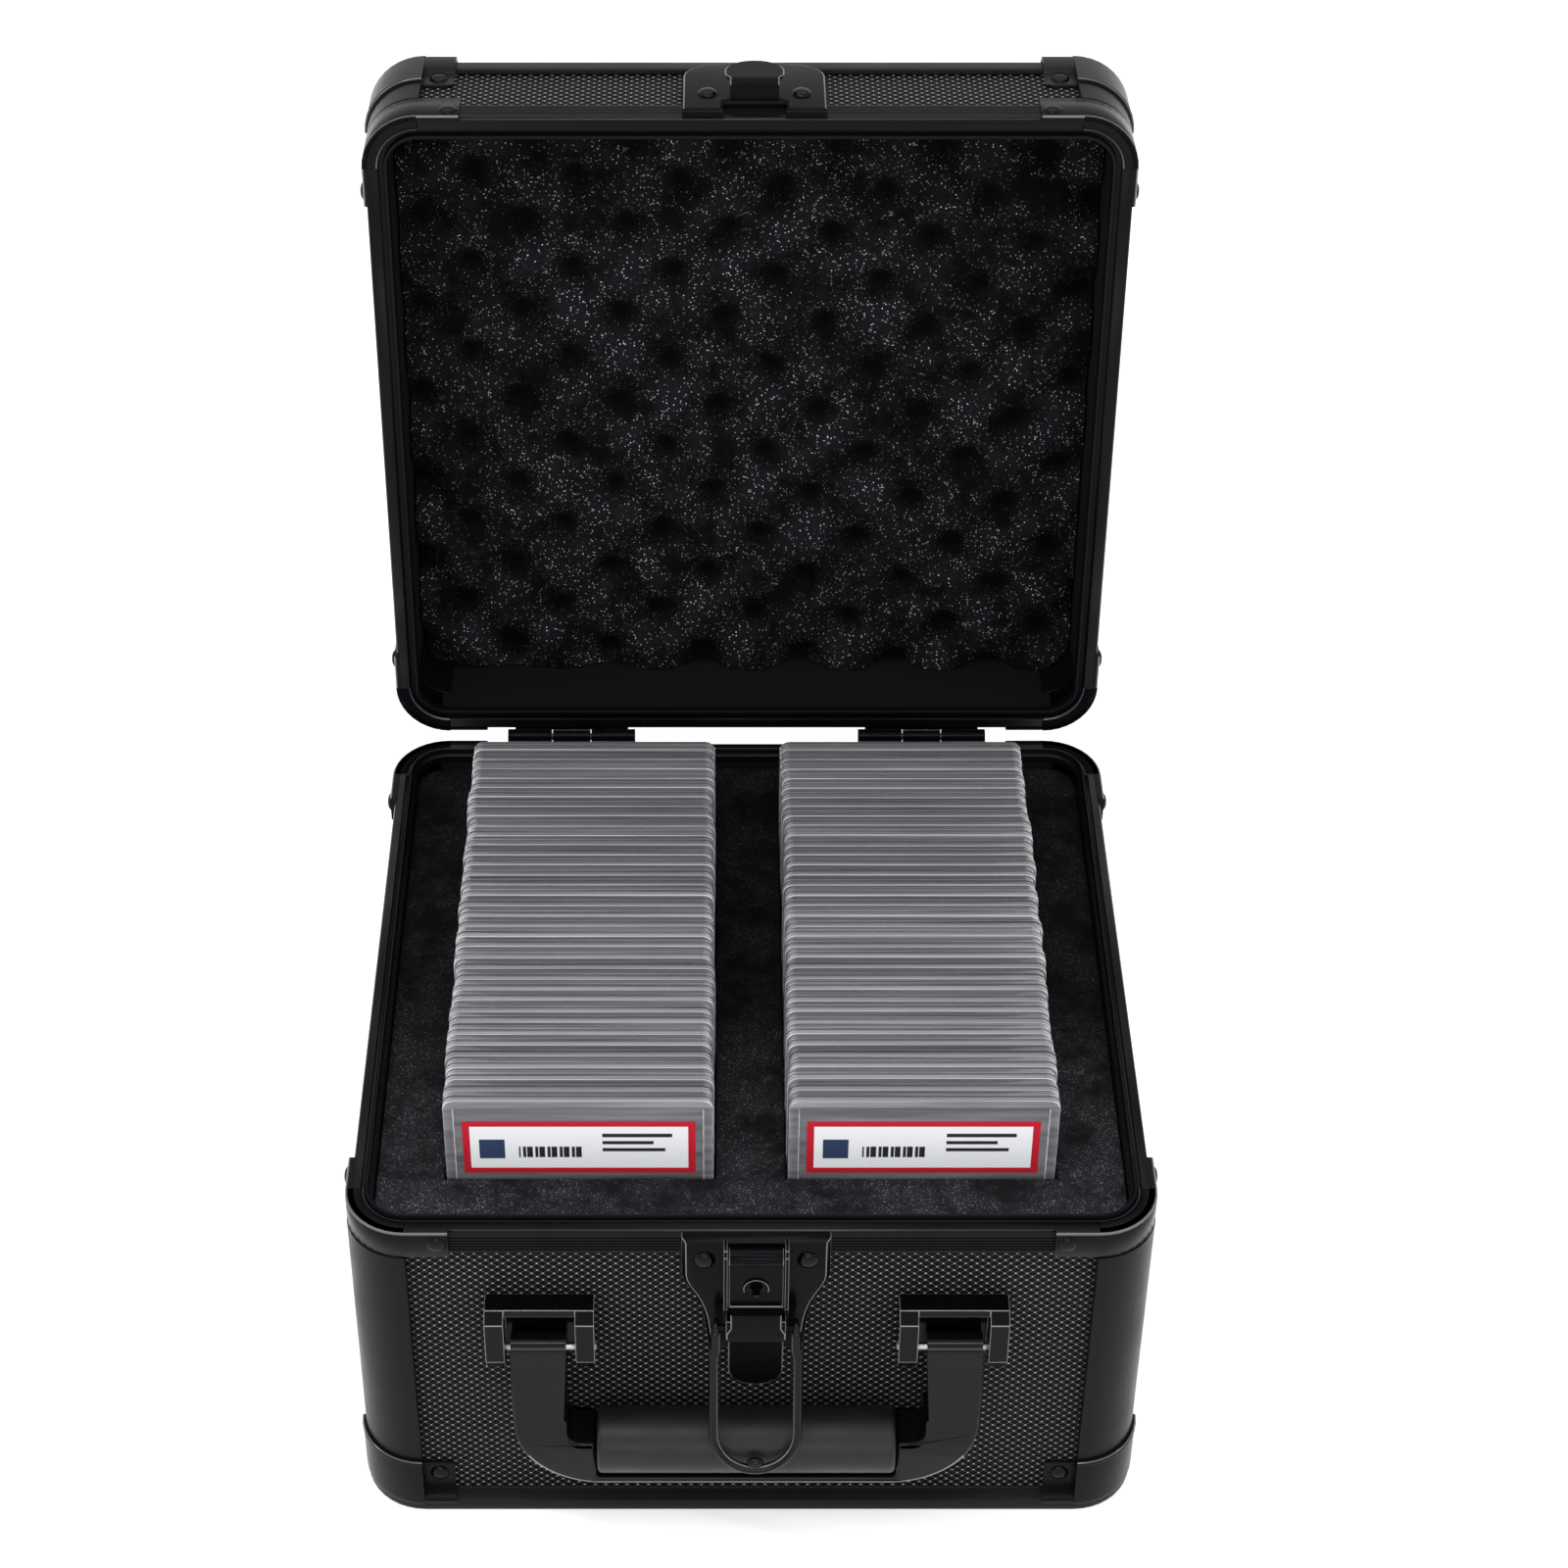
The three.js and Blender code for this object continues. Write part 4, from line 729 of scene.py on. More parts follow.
# The pits are marked for painted shade: the foam is painted near black in them.
pit_shade = egg.data.attributes.new("pit_shade", "FLOAT", "POINT")
for index, vertex in enumerate(egg.data.vertices):
    x, y = vertex.co.x, vertex.co.y
    over_x = abs(x) - (egg_half.x - egg_corner)
    over_y = abs(y) - (egg_half.y - egg_corner)
    if over_x > 0 and over_y > 0:
        reach = max(over_x, over_y) / math.hypot(over_x, over_y)
        x = math.copysign(egg_half.x - egg_corner + over_x * reach, x)
        y = math.copysign(egg_half.y - egg_corner + over_y * reach, y)
    y += case_middle
    across = (x - egg_pit.x) * math.cos(egg_turn) + (y - egg_pit.y) * math.sin(egg_turn)
    along = (y - egg_pit.y) * math.cos(egg_turn) - (x - egg_pit.x) * math.sin(egg_turn)
    wave = math.cos(2 * math.pi * across / egg_pitch.x) * math.cos(2 * math.pi * along / egg_pitch.y)
    deep = ((wave + 1) / 2) ** 1.9
    vertex.co = (x, y, lid_plane + egg_mean - egg_wave + 2 * egg_wave * deep)
    pit_shade.data[index].value = max(0.0, deep - 0.45) / 0.55
bpy.ops.object.mode_set(mode="EDIT")
bpy.ops.mesh.select_all(action="SELECT")
bpy.ops.mesh.extrude_region_move(TRANSFORM_OT_translate={"value": (0, 0, 0.1 * mm)})
bpy.ops.object.mode_set(mode="OBJECT")
for vertex in egg.data.vertices:
    if vertex.select:
        vertex.co.z = lid_plane + egg_back
egg.data.transform(open_lid)
bpy.ops.object.mode_set(mode="EDIT")
bpy.ops.mesh.select_all(action="SELECT")
bpy.ops.mesh.normals_make_consistent(inside=False)
bpy.ops.object.mode_set(mode="OBJECT")
bpy.ops.object.shade_smooth_by_angle(angle=math.radians(50))
egg.data.materials.append(egg_foam)
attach(egg, "lid")
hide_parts("lid_egg_crate_foam")

# Base foam: one thick block with a slot for each row of slabs, its mouths cut clean.
foam_low, foam_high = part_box("base_foam_insert")
# Its colour carries painted light at the front and painted shade towards the back.
base_foam = foam_finish(
    "slotted_foam", (0.006, 0.0058, 0.007), (0.015, 0.0145, 0.017), (0.2, 0.2, 0.215), 0.34,
    front=foam_low.y, back=foam_low.y + 100 * mm, cell=2300.0)
slab_gap = 0.6 * mm
slot_depth = 60 * mm


def block(name, low, high):
    bpy.ops.object.select_all(action="DESELECT")
    bpy.ops.mesh.primitive_cube_add(size=1)
    made = bpy.context.object
    made.name = name
    low, high = Vector(low), Vector(high)
    made.data.transform(
        Matrix.Translation((low + high) / 2) @ Matrix.Diagonal((*(high - low), 1)))
    return made


foam_block = block("slotted_foam_block", foam_low, foam_high)
select_edges(foam_block, lambda a, b: abs(a.z - b.z) > 10 * mm)
bpy.ops.mesh.bevel(offset=10 * mm, segments=6)
slots = []
for side in ("left", "right"):
    front_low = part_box(f"front_slab_{side}")[0]
    row_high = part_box(f"slab_row_{side}")[1]
    slots.append((front_low.x - slab_gap, row_high.x + slab_gap, front_low.y - slab_gap, row_high.y + slab_gap))
for x0, x1, y0, y1 in slots:
    for place, normal in (((x0, 0, 0), (1, 0, 0)), ((x1, 0, 0), (1, 0, 0)),
                          ((0, y0, 0), (0, 1, 0)), ((0, y1, 0), (0, 1, 0))):
        bpy.ops.object.mode_set(mode="EDIT")
        bpy.ops.mesh.select_mode(type="FACE")
        bpy.ops.mesh.select_all(action="SELECT")
        bpy.ops.mesh.bisect(plane_co=place, plane_no=normal)


def is_mouth(face):
    middle = face.center
    return face.normal.z > 0.9 and any(
        x0 < middle.x < x1 and y0 < middle.y < y1 for x0, x1, y0, y1 in slots)


select_faces(foam_block, is_mouth)
bpy.ops.mesh.extrude_region_move(TRANSFORM_OT_translate={"value": (0, 0, -slot_depth)})


def on_mouth(a, b):
    if abs(a.z - foam_high.z) > 1e-6 or abs(b.z - foam_high.z) > 1e-6:
        return False
    middle = (a + b) / 2
    return any(
        (min(abs(middle.x - x0), abs(middle.x - x1)) < 1e-6 and y0 < middle.y < y1) or
        (min(abs(middle.y - y0), abs(middle.y - y1)) < 1e-6 and x0 < middle.x < x1)
        for x0, x1, y0, y1 in slots)


select_edges(foam_block, on_mouth)
bpy.ops.mesh.bevel(offset=1.2 * mm, segments=3)
bpy.ops.object.mode_set(mode="OBJECT")
bpy.ops.object.shade_smooth_by_angle(angle=math.radians(50))
foam_block.data.materials.append(base_foam)
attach(foam_block, "base")
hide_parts("base_foam_insert")

# Slabs. Two clear shells welded round their edge, with a raised lip round the window; the weld shows as a fine groove
# between two edges, whose brightness is a painted highlight. The grey finish is opaque, with brighter painted glints
# where the ends turn round.
slab_pitch = 4.9 * mm
slab_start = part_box("front_slab_left")[0].y
slab_clear, tree, output = new_material("clear_slab")
coords = add_node(tree, "ShaderNodeTexCoord")
axes = add_node(tree, "ShaderNodeSeparateXYZ", {0: coords.outputs["Object"]})
along_row = math_node(tree, "DIVIDE", math_node(tree, "SUBTRACT", axes.outputs["Y"], slab_start), slab_pitch)
slab_number = math_node(tree, "FLOOR", along_row)
slab_tone = add_node(tree, "ShaderNodeTexWhiteNoise", {"W": slab_number}, noise_dimensions="1D")
layers = add_node(tree, "ShaderNodeValToRGB", {0: math_node(tree, "FRACT", along_row)})
# Seen across its thickness: (share of the pitch, tone), a painted highlight on the edge, a clear wall, the dark weld,
# the other wall between two painted highlights, and painted shade in the gap to the next slab
layer_shares = (
    (0.0, 0.4), (0.06, 0.36), (0.09, 0.10), (0.2, 0.13), (0.34, 0.15), (0.39, 0.02), (0.5, 0.012),
    (0.54, 0.3), (0.6, 0.14), (0.72, 0.10), (0.84, 0.13), (0.9, 0.26), (0.93, 0.015), (1.0, 0.015))
while len(layers.color_ramp.elements) < len(layer_shares):
    layers.color_ramp.elements.new(0.5)
for stop, (share, tone) in zip(layers.color_ramp.elements, layer_shares):
    stop.position = share
    stop.color = (tone * 0.97, tone * 0.97, tone * 1.04, 1)
drawn = add_node(tree, "ShaderNodeMapping", {"Vector": coords.outputs["Object"], "Scale": (14, 2600, 300)})
streak = add_node(tree, "ShaderNodeTexNoise", {
    "Vector": drawn.outputs[0], "Scale": 1.0, "Detail": 3.0, "Roughness": 0.6})
streak_tone = add_node(tree, "ShaderNodeMapRange", {
    "Value": streak.outputs["Fac"], "From Min": 0.3, "From Max": 0.7, "To Min": 0.55, "To Max": 1.35})
number_tone = add_node(tree, "ShaderNodeMapRange", {"Value": slab_tone.outputs["Value"], "To Min": 0.75, "To Max": 1.25})
facing = add_node(tree, "ShaderNodeSeparateXYZ", {0: coords.outputs["Normal"]})
# Painted glints: the colour brightens where the ends turn round.
end_glint_painted = add_node(tree, "ShaderNodeMapRange", {
    "Value": math_node(tree, "ABSOLUTE", facing.outputs["X"]), "From Min": 0.1, "From Max": 0.5,
    "To Min": 1.0, "To Max": 1.9})
front_wall = add_node(tree, "ShaderNodeMapRange", {
    "Value": math_node(tree, "ABSOLUTE", facing.outputs["Y"]), "From Min": 0.7, "From Max": 0.9})
strength = math_node(tree, "MULTIPLY", math_node(
    tree, "MULTIPLY", streak_tone.outputs[0], number_tone.outputs[0]), end_glint_painted.outputs[0])
clear_tone = add_node(tree, "ShaderNodeMix", {
    0: front_wall.outputs[0], 6: layers.outputs[0], 7: (0.17, 0.17, 0.185, 1)}, data_type="RGBA")
tint = add_node(tree, "ShaderNodeVectorMath", {0: clear_tone.outputs[2], "Scale": strength}, operation="SCALE")
shader = add_node(tree, "ShaderNodeBsdfPrincipled", {
    "Base Color": tint.outputs[0], "Roughness": 0.14, "Specular IOR Level": 0.5,
    "Coat Weight": 0.3, "Coat Roughness": 0.06})
tree.links.new(shader.outputs[0], output.inputs[0])

slab_corner = 3.4 * mm
slab_edge = 0.55 * mm
weld_width = 0.8 * mm
window_inset = 2.4 * mm
window_depth = 0.5 * mm


def clear_slab(name, low, high):
    slab = block(name, low, high)
    middle_y = (low.y + high.y) / 2
    select_edges(slab, lambda a, b: abs(a.y - b.y) > 1 * mm)
    bpy.ops.mesh.bevel(offset=slab_corner, segments=4)
    for place in (middle_y - weld_width / 2, middle_y + weld_width / 2):
        bpy.ops.mesh.select_all(action="SELECT")
        bpy.ops.mesh.bisect(plane_co=(0, place, 0), plane_no=(0, 1, 0))
    select_faces(slab, lambda face: abs(face.normal.y) < 0.5 and abs(face.center.y - middle_y) < 0.1 * mm)
    bpy.ops.mesh.extrude_region_shrink_fatten(TRANSFORM_OT_shrink_fatten={"value": -0.5 * mm})
    select_edges(slab, lambda a, b: (
        abs(a.y - b.y) < 1e-7 and min(abs(a.y - low.y), abs(a.y - high.y)) < 1e-7))
    bpy.ops.mesh.bevel(offset=slab_edge, segments=2)
    for sign in (-1, 1):
        select_faces(slab, lambda face: face.normal.y * sign > 0.99 and face.area > 5000 * mm * mm)
        bpy.ops.mesh.inset(thickness=window_inset, depth=0)
        bpy.ops.mesh.inset(thickness=0.4 * mm, depth=-window_depth)
        bpy.ops.mesh.poke()
    bpy.ops.object.mode_set(mode="OBJECT")
    bpy.ops.object.shade_smooth_by_angle(angle=math.radians(35))
    slab.data.materials.append(slab_clear)
    return slab


row_count = 34
slip = random.Random(7)
front_slabs = {}
for side in ("left", "right"):
    low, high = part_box(f"front_slab_{side}")
    front_slabs[side] = clear_slab(f"clear_front_slab_{side}", low, high)
    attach(front_slabs[side], f"front_slab_{side}")
    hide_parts(f"front_slab_{side}")
    row = []
    for index in range(1, row_count + 1):
        copy = front_slabs[side].copy()
        copy.data = front_slabs[side].data.copy()
        scene.collection.objects.link(copy)
        copy.data.transform(Matrix.Translation((
            slip.uniform(-0.5, 0.5) * mm, index * slab_pitch, slip.uniform(-0.7, 0.0) * mm)))
        row.append(copy)
    whole_row = joined(f"clear_slab_row_{side}", row)
    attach(whole_row, f"slab_row_{side}")
    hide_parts(f"slab_row_{side}")

# Labels. A printed paper card inside each front slab: a red border round a white field with plain
# grey bars and a dark square.
label_low = 122 * mm
label_high = 143.8 * mm
label_side = 5.5 * mm
label_border = 2.2 * mm
label_thickness = 0.12 * mm


def paper(name, color):
    made, tree, output = new_material(name)
    coords = add_node(tree, "ShaderNodeTexCoord")
    fibre = add_node(tree, "ShaderNodeTexNoise", {
        "Vector": coords.outputs["Object"], "Scale": 900.0, "Detail": 3.0})
    tint = add_node(tree, "ShaderNodeMix", {
        0: fibre.outputs["Fac"], 6: (*[part * 0.93 for part in color], 1), 7: (*color, 1)}, data_type="RGBA")
    shader = add_node(tree, "ShaderNodeBsdfPrincipled", {
        "Base Color": tint.outputs[2], "Roughness": 0.5, "Specular IOR Level": 0.3,
        "Coat Weight": 0.5, "Coat Roughness": 0.1})
    tree.links.new(shader.outputs[0], output.inputs[0])
    return made


label_red = paper("label_red", (0.55, 0.012, 0.03))
label_white = paper("label_white", (0.93, 0.94, 0.96))
label_ink = paper("label_ink", (0.02, 0.022, 0.03))
label_blue = paper("label_blue", (0.03, 0.05, 0.12))
for side in ("left", "right"):
    low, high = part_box(f"front_slab_{side}")
    face = low.y + window_depth
    left = low.x + label_side
    right = high.x - label_side
    width = right - left
    layers = [block("label", (left, face - label_thickness, label_low), (right, face + 0.1 * mm, label_high))]
    layers[0].data.materials.append(label_red)
    front = face - label_thickness
    field_low = label_low + label_border
    field_high = label_high - label_border
    prints = [
        (label_white, left + label_border, right - label_border, field_low, field_high),
        (label_ink, left + 0.60 * width, left + 0.90 * width, field_high - 4.4 * mm, field_high - 2.9 * mm),
        (label_ink, left + 0.60 * width, left + 0.82 * width, field_high - 7.4 * mm, field_high - 6.0 * mm),
        (label_ink, left + 0.60 * width, left + 0.87 * width, field_high - 10.4 * mm, field_high - 9.0 * mm),
        (label_blue, left + 0.07 * width, left + 0.18 * width, field_low + 4 * mm, field_low + 12 * mm),
    ]
    ticks = 16
    for tick in range(ticks):
        place = left + (0.24 + 0.28 * tick / ticks) * width
        wide = (0.5 + 0.45 * ((tick * 7) % 3)) * mm
        prints.append((label_ink, place, place + wide, field_low + 4.5 * mm, field_low + 9 * mm))
    for index, (ink, x0, x1, z0, z1) in enumerate(prints):
        lift = 0.02 * mm * (1 if index == 0 else 2)
        layer = block("print", (x0, front - lift, z0), (x1, front, z1))
        layer.data.materials.append(ink)
        layers.append(layer)
    label = joined(f"slab_label_{side}", layers)
    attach(label, f"front_slab_{side}")

# Latch plate. Pressed steel tray in a dark polished coat, its top edge sloped over the rim, with two
# cheeks for the lever; two rivets hold it to the front.
latch_black = coat("latch_black", (0.002, 0.002, 0.003), 0.2, 0.05, depth=0.03)
# The latch's edge finish paints a highlight: a lighter base colour on a glossier coat.
latch_highlight_coat = coat("painted_latch_highlight", (0.085, 0.085, 0.09), 0.18, 0.9, depth=0.02)
latch_x = 1.4 * mm
plate_face = 2.6 * mm
plate_side = [(22.2, -17), (21.8, -19.4), (20.6, -22.4), (18.9, -25.6), (17.5, -28.8), (16.4, -32.4),
              (15.6, -36.5), (15.1, -41), (14.6, -46), (14, -50)]


def on_front(out):
    return lambda across, up: (latch_x + across, front_face - out, rim_plane + up)


def mirrored(half):
    return half + [(-across, up) for across, up in reversed(half)]


plate = section_face("latch_tray", mirrored([(22.2, -0.3)] + plate_side), on_front(plate_face))
draw_out((0, plate_face - 0.3 * mm, 0))
bpy.ops.object.mode_set(mode="OBJECT")
finished(plate, latch_black, latch_highlight_coat)
for vertex in plate.data.vertices:
    if vertex.co.y < front_face - plate_face + 1e-6 and vertex.co.z > rim_plane - 1 * mm:
        vertex.co.z -= 2.7 * mm
plate_front = front_face - plate_face
select_edges(plate, lambda a, b: (
    max(a.y, b.y) < plate_front + 1e-6 and not (a.z > rim_plane - 4 * mm and b.z > rim_plane - 4 * mm)))
bpy.ops.mesh.bevel(offset=1.3 * mm, segments=1)
bpy.ops.object.mode_set(mode="OBJECT")
# The rounded edges carry a painted highlight, except on the top band over the rim.
eased(plate, 0.2 * mm, segments=2, angle=20, bright=True)
for face in plate.data.polygons:
    if face.center.z > rim_plane - 3.6 * mm and abs(face.center.x - latch_x) < 20 * mm:
        face.material_index = 0
plate_wall = section_face("plate_wall", mirrored([(21.9, -10.6)] + [
    (across - 0.3, up) for across, up in plate_side]), on_front(1 * mm))
draw_out((0, 2.9 * mm, 0))
bpy.ops.object.mode_set(mode="OBJECT")
finished(plate_wall, latch_black, latch_highlight_coat)
cheek_side = [(1.5, -28.8), (6.7, -28.8), (8.2, -25.8), (8.2, -3.5), (6.7, -2), (1.5, -2)]
cheeks = []
for across in (-9.7, 8.5):
    cheek = section_face("cheek", cheek_side, lambda out, up: (
        latch_x + across * mm, front_face - out, rim_plane + up))
    draw_out((1.2 * mm, 0, 0))
    bpy.ops.mesh.select_all(action="SELECT")
    bpy.ops.mesh.normals_make_consistent(inside=False)
    bpy.ops.object.mode_set(mode="OBJECT")
    finished(cheek, latch_black, latch_highlight_coat)
    # A painted highlight on the cheek's rounded edges.
    eased(cheek, 0.18 * mm, segments=2, angle=20, bright=True)
    cheeks.append(cheek)
plate = joined("latch_tray", [plate, plate_wall] + cheeks)
closed_up(plate)
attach(plate, "base")
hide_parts("latch_plate")
latch_rivet_x = 15.4 * mm
for sign, side in ((-1, "left"), (1, "right")):
    rivet_head(f"latch_rivet_{side}", (latch_x + sign * latch_rivet_x, plate_front, rim_plane - 10 * mm),
               (0, -1, 0), "base", height=1.7 * mm, radius=3.3 * mm)

# Lever. A strip of the same steel: a barrel round the pivot, the plate with the lock, a fold outwards,
# and a tongue with a round end. Two walls behind the fold carry the pin of the bail.
lever_pivot = Vector((latch_x, front_face - 5.2 * mm, rim_plane - 6 * mm))
# The tongue's finish is painted darker, as shade.
tongue_painted_shade = coat("tongue_painted_shade", (0.0008, 0.0008, 0.0012), 0.4, 0.02, depth=0.02)
strip_shares = [-1, -0.955, -0.9, -0.7, -0.45, -0.2, 0.2, 0.45, 0.7, 0.9, 0.955, 1]


# A path of (out, up) points with rounded folds, and the half width at each height. The rim of its face is turned back a
# little and carries a painted highlight.
def folded_strip(name, folds, reaches, end_rows, half_width, height, thickness):
    path = [folds[0]]
    for index in range(1, len(folds) - 1):
        before, corner, after = (Vector(point) for point in folds[index - 1:index + 2])
        into = corner + (before - corner).normalized() * reaches[index]
        away = corner + (after - corner).normalized() * reaches[index]
        for step in range(7):
            share = step / 6
            path.append(tuple(into.lerp(corner, share).lerp(corner.lerp(away, share), share)))
    last = Vector(path[-1])
    for step in range(1, end_rows + 1):
        share = math.sin(math.pi / 2 * step / end_rows)
        path.append(tuple(last.lerp(Vector(folds[-1]), share)))
    rows = len(path)
    bpy.ops.object.select_all(action="DESELECT")
    columns = len(strip_shares)
    bpy.ops.mesh.primitive_grid_add(x_subdivisions=columns - 1, y_subdivisions=rows - 1, size=2)
    strip = bpy.context.object
    strip.name = name
    for vertex in strip.data.vertices:
        row = round((vertex.co.y + 1) / 2 * (rows - 1))
        share = strip_shares[round((vertex.co.x + 1) / 2 * (columns - 1))]
        out, up = path[row]
        if abs(share) == 1 or row == rows - 1:
            out -= 0.2
        vertex.co = (latch_x + share * half_width(up) * mm, front_face - out * mm, height + up * mm)
    foremost = min(strip.data.polygons, key=lambda face: face.center.y)
    if foremost.normal.y > 0:
        bpy.ops.object.mode_set(mode="EDIT")
        bpy.ops.mesh.select_all(action="SELECT")
        bpy.ops.mesh.flip_normals()
        bpy.ops.object.mode_set(mode="OBJECT")
    finished(strip, latch_black, latch_highlight_coat)
    skin = strip.modifiers.new("skin", "SOLIDIFY")
    skin.thickness = thickness
    skin.offset = -1
    bpy.ops.object.modifier_apply(modifier="skin")

    def to_rim(face):
        up = (face.center.z - height) / mm
        half = half_width(up)
        slope = (half_width(up + 0.05) - half_width(up - 0.05)) / 0.1
        return (half - abs(face.center.x - latch_x) / mm) / math.hypot(1, slope)

    mark_painted_highlight(strip, lambda face: face.normal.y < 0 and to_rim(face) < 0.3)
    return strip


tongue_round = 8.2
tongue_end = -55.2


def lever_half(up):
    to_end = max(0.0, up - tongue_end)
    if to_end < tongue_round:
        return math.sqrt(tongue_round ** 2 - (tongue_round - to_end) ** 2) + 0.05
    if up > -20.4:
        return 8.2
    if up > -26:
        return 7.6
    if up > -28.5:
        return 7.6 + 1.3 * (-26 - up) / 2.5
    if up > -31.5:
        return 8.9
    return 8.3


lever = folded_strip(
    "lever_strip", [(6.8, -1.5), (6.8, -20), (10.4, -20.7), (10.4, -26), (10.4, -28.5), (10.4, -31), (6.6, tongue_end)],
    [0, 0.5, 0.6, 0.1, 0.1, 2.2, 0], 24, lever_half, lever_pivot.z, 1.5 * mm)
# A painted highlight along the top of the fold.
mark_painted_highlight(lever, lambda face: (
    -20.3 * mm < face.center.z - lever_pivot.z < -19.4 * mm and face.normal.y < -0.5 and face.normal.z > 0.05))
# Below the fold the tongue takes the darker finish: painted shade.
lever.data.materials.append(tongue_painted_shade)
for face in lever.data.polygons:
    if face.material_index == 0 and face.center.z < lever_pivot.z - 31.5 * mm:
        face.material_index = 2
# The barrel, the walls and the pin carry a painted highlight on their rounded edges.
bpy.ops.object.select_all(action="DESELECT")
bpy.ops.mesh.primitive_cylinder_add(vertices=32, radius=2.9 * mm, depth=16.4 * mm)
barrel = bpy.context.object
barrel.data.transform(Matrix.Translation(lever_pivot) @ Matrix.Rotation(math.pi / 2, 4, "Y"))
finished(barrel, latch_black, latch_highlight_coat)
eased(barrel, 0.35 * mm, bright=True)
walls = []
for low_x, high_x in ((-9.0, -7.2), (7.2, 9.0)):
    wall = block("lever_wall", (latch_x + low_x * mm, front_face - 9.7 * mm, lever_pivot.z - 31.5 * mm),
                 (latch_x + high_x * mm, front_face - 5.2 * mm, lever_pivot.z - 23.5 * mm))
    finished(wall, latch_black, latch_highlight_coat)
    eased(wall, 0.2 * mm, bright=True)
    walls.append(wall)
bpy.ops.object.select_all(action="DESELECT")
bpy.ops.mesh.primitive_cylinder_add(vertices=24, radius=1.2 * mm, depth=19.4 * mm)
pivot_pin = bpy.context.object
pivot_pin.data.transform(Matrix.Translation(lever_pivot) @ Matrix.Rotation(math.pi / 2, 4, "Y"))
finished(pivot_pin, latch_black, latch_highlight_coat)
eased(pivot_pin, 0.3 * mm, bright=True)
lever = joined("lever_strip", [lever, barrel, pivot_pin] + walls)
bpy.ops.object.shade_smooth_by_angle(angle=math.radians(35))
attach(lever, "latch_lever")
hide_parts("latch_lever")

# Lock. A small cylinder set in the lever, with a raised ring round a key slot painted near black as shade.
lock_place = Vector((latch_x, front_face - 6.8 * mm, rim_plane - 17.5 * mm))
slot_half = 1.2
slot_low = -3.5
head_up = 1.1
head_round = 1.95
head_start = -math.acos(slot_half / head_round)
keyhole = [(slot_half, -2.4), (slot_half, -1.2)]
for step in range(25):
    angle = head_start + (math.pi - 2 * head_start) * step / 24
    keyhole.append((head_round * math.cos(angle), head_up + head_round * math.sin(angle)))
keyhole += [(-slot_half, -1.2), (-slot_half, -2.4), (-slot_half, slot_low), (0, slot_low), (slot_half, slot_low)]
lock = section_face("lock_barrel", keyhole, lambda across, up: (
    lock_place.x + across, lock_place.y - 0.03 * mm, lock_place.z + up))
draw_out((0, -0.37 * mm, 0))
for radius, out in ((3.45, 0.4), (3.6, 0.65), (3.85, 0.65), (4.0, 0.4), (4.0, -1.0)):
    draw_out((0, 0, 0))
    bpy.ops.object.mode_set(mode="OBJECT")
    for vertex in lock.data.vertices:
        if vertex.select:
            angle = math.atan2(vertex.co.z - lock_place.z, vertex.co.x - lock_place.x)
            vertex.co = (lock_place.x + radius * mm * math.cos(angle), lock_place.y - out * mm,
                         lock_place.z + radius * mm * math.sin(angle))
    bpy.ops.object.mode_set(mode="EDIT")
bpy.ops.object.mode_set(mode="OBJECT")
keyhole_shade_coat = coat("keyhole_painted_shade", (0.0004, 0.0004, 0.0005), 0.7, 0.01)
finished(lock, latch_black, latch_highlight_coat, keyhole_shade_coat)
closed_up(lock)
# The slot's walls are painted near black as shade; painted highlights sit on its foot and on the upper part of the
# ring.
for face in lock.data.polygons:
    off = (face.center.xz - lock_place.xz) / mm
    deep = (face.center.y - lock_place.y) / mm
    if deep > -0.35 and off.length < 3.7:
        face.material_index = 1 if off.y < slot_low + 0.1 else 2
    elif deep < -0.6 and off.y > -1.6:
        face.material_index = 1
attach(lock, "lock_cylinder")
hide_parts("lock_cylinder")

# Keeper on the lid and hinges behind. The same pressed steel: a raised tray riveted to the lid's rim,
# with a hook folded out of its middle for the bail.
keeper_face = 2.7 * mm
keeper_side = [(9.6, 7.2), (9.6, 0.3), (22.4, 0.3), (22.4, 26), (21.8, 28.8), (20.2, 31.3), (18, 32.9), (15, 34.2),
               (8, 35.7), (3, 36.1)]
keeper = section_face("keeper_tray", mirrored(keeper_side), lambda across, up: (
    latch_x + across, front_face - keeper_face, lid_plane + up))
draw_out((0, keeper_face - 0.3 * mm, 0))
bpy.ops.object.mode_set(mode="OBJECT")
finished(keeper, latch_black, latch_highlight_coat)
keeper_front = front_face - keeper_face
for vertex in keeper.data.vertices:
    if vertex.co.y < keeper_front + 1e-6 and vertex.co.z < lid_plane + 1 * mm:
        vertex.co.z += 1.3 * mm
select_edges(keeper, lambda a, b: max(a.y, b.y) < keeper_front + 1e-6)
bpy.ops.mesh.bevel(offset=1.1 * mm, segments=4)
bpy.ops.mesh.select_all(action="SELECT")
bpy.ops.mesh.normals_make_consistent(inside=False)
bpy.ops.object.mode_set(mode="OBJECT")
# Painted highlights on the rounded bends of the tray.
mark_painted_highlight(keeper, lambda face: (
    0.7 < -face.normal.y < 0.95 and face.area < 30 * mm * mm and face.center.z > lid_plane + 9 * mm))
hook_low = 8.0
hook_high = 22


def hook_half(up):
    if up < 10:
        return 7.6
    if up < 11.5:
        return 7.6 + 1.6 * (up - 10) / 1.5
    if up < 14.5:
        return 9.2
    rise = min(1.0, (up - 14.5) / (hook_high - 14.5))
    return 9.2 * math.sqrt(1 - rise ** 2) + 0.05


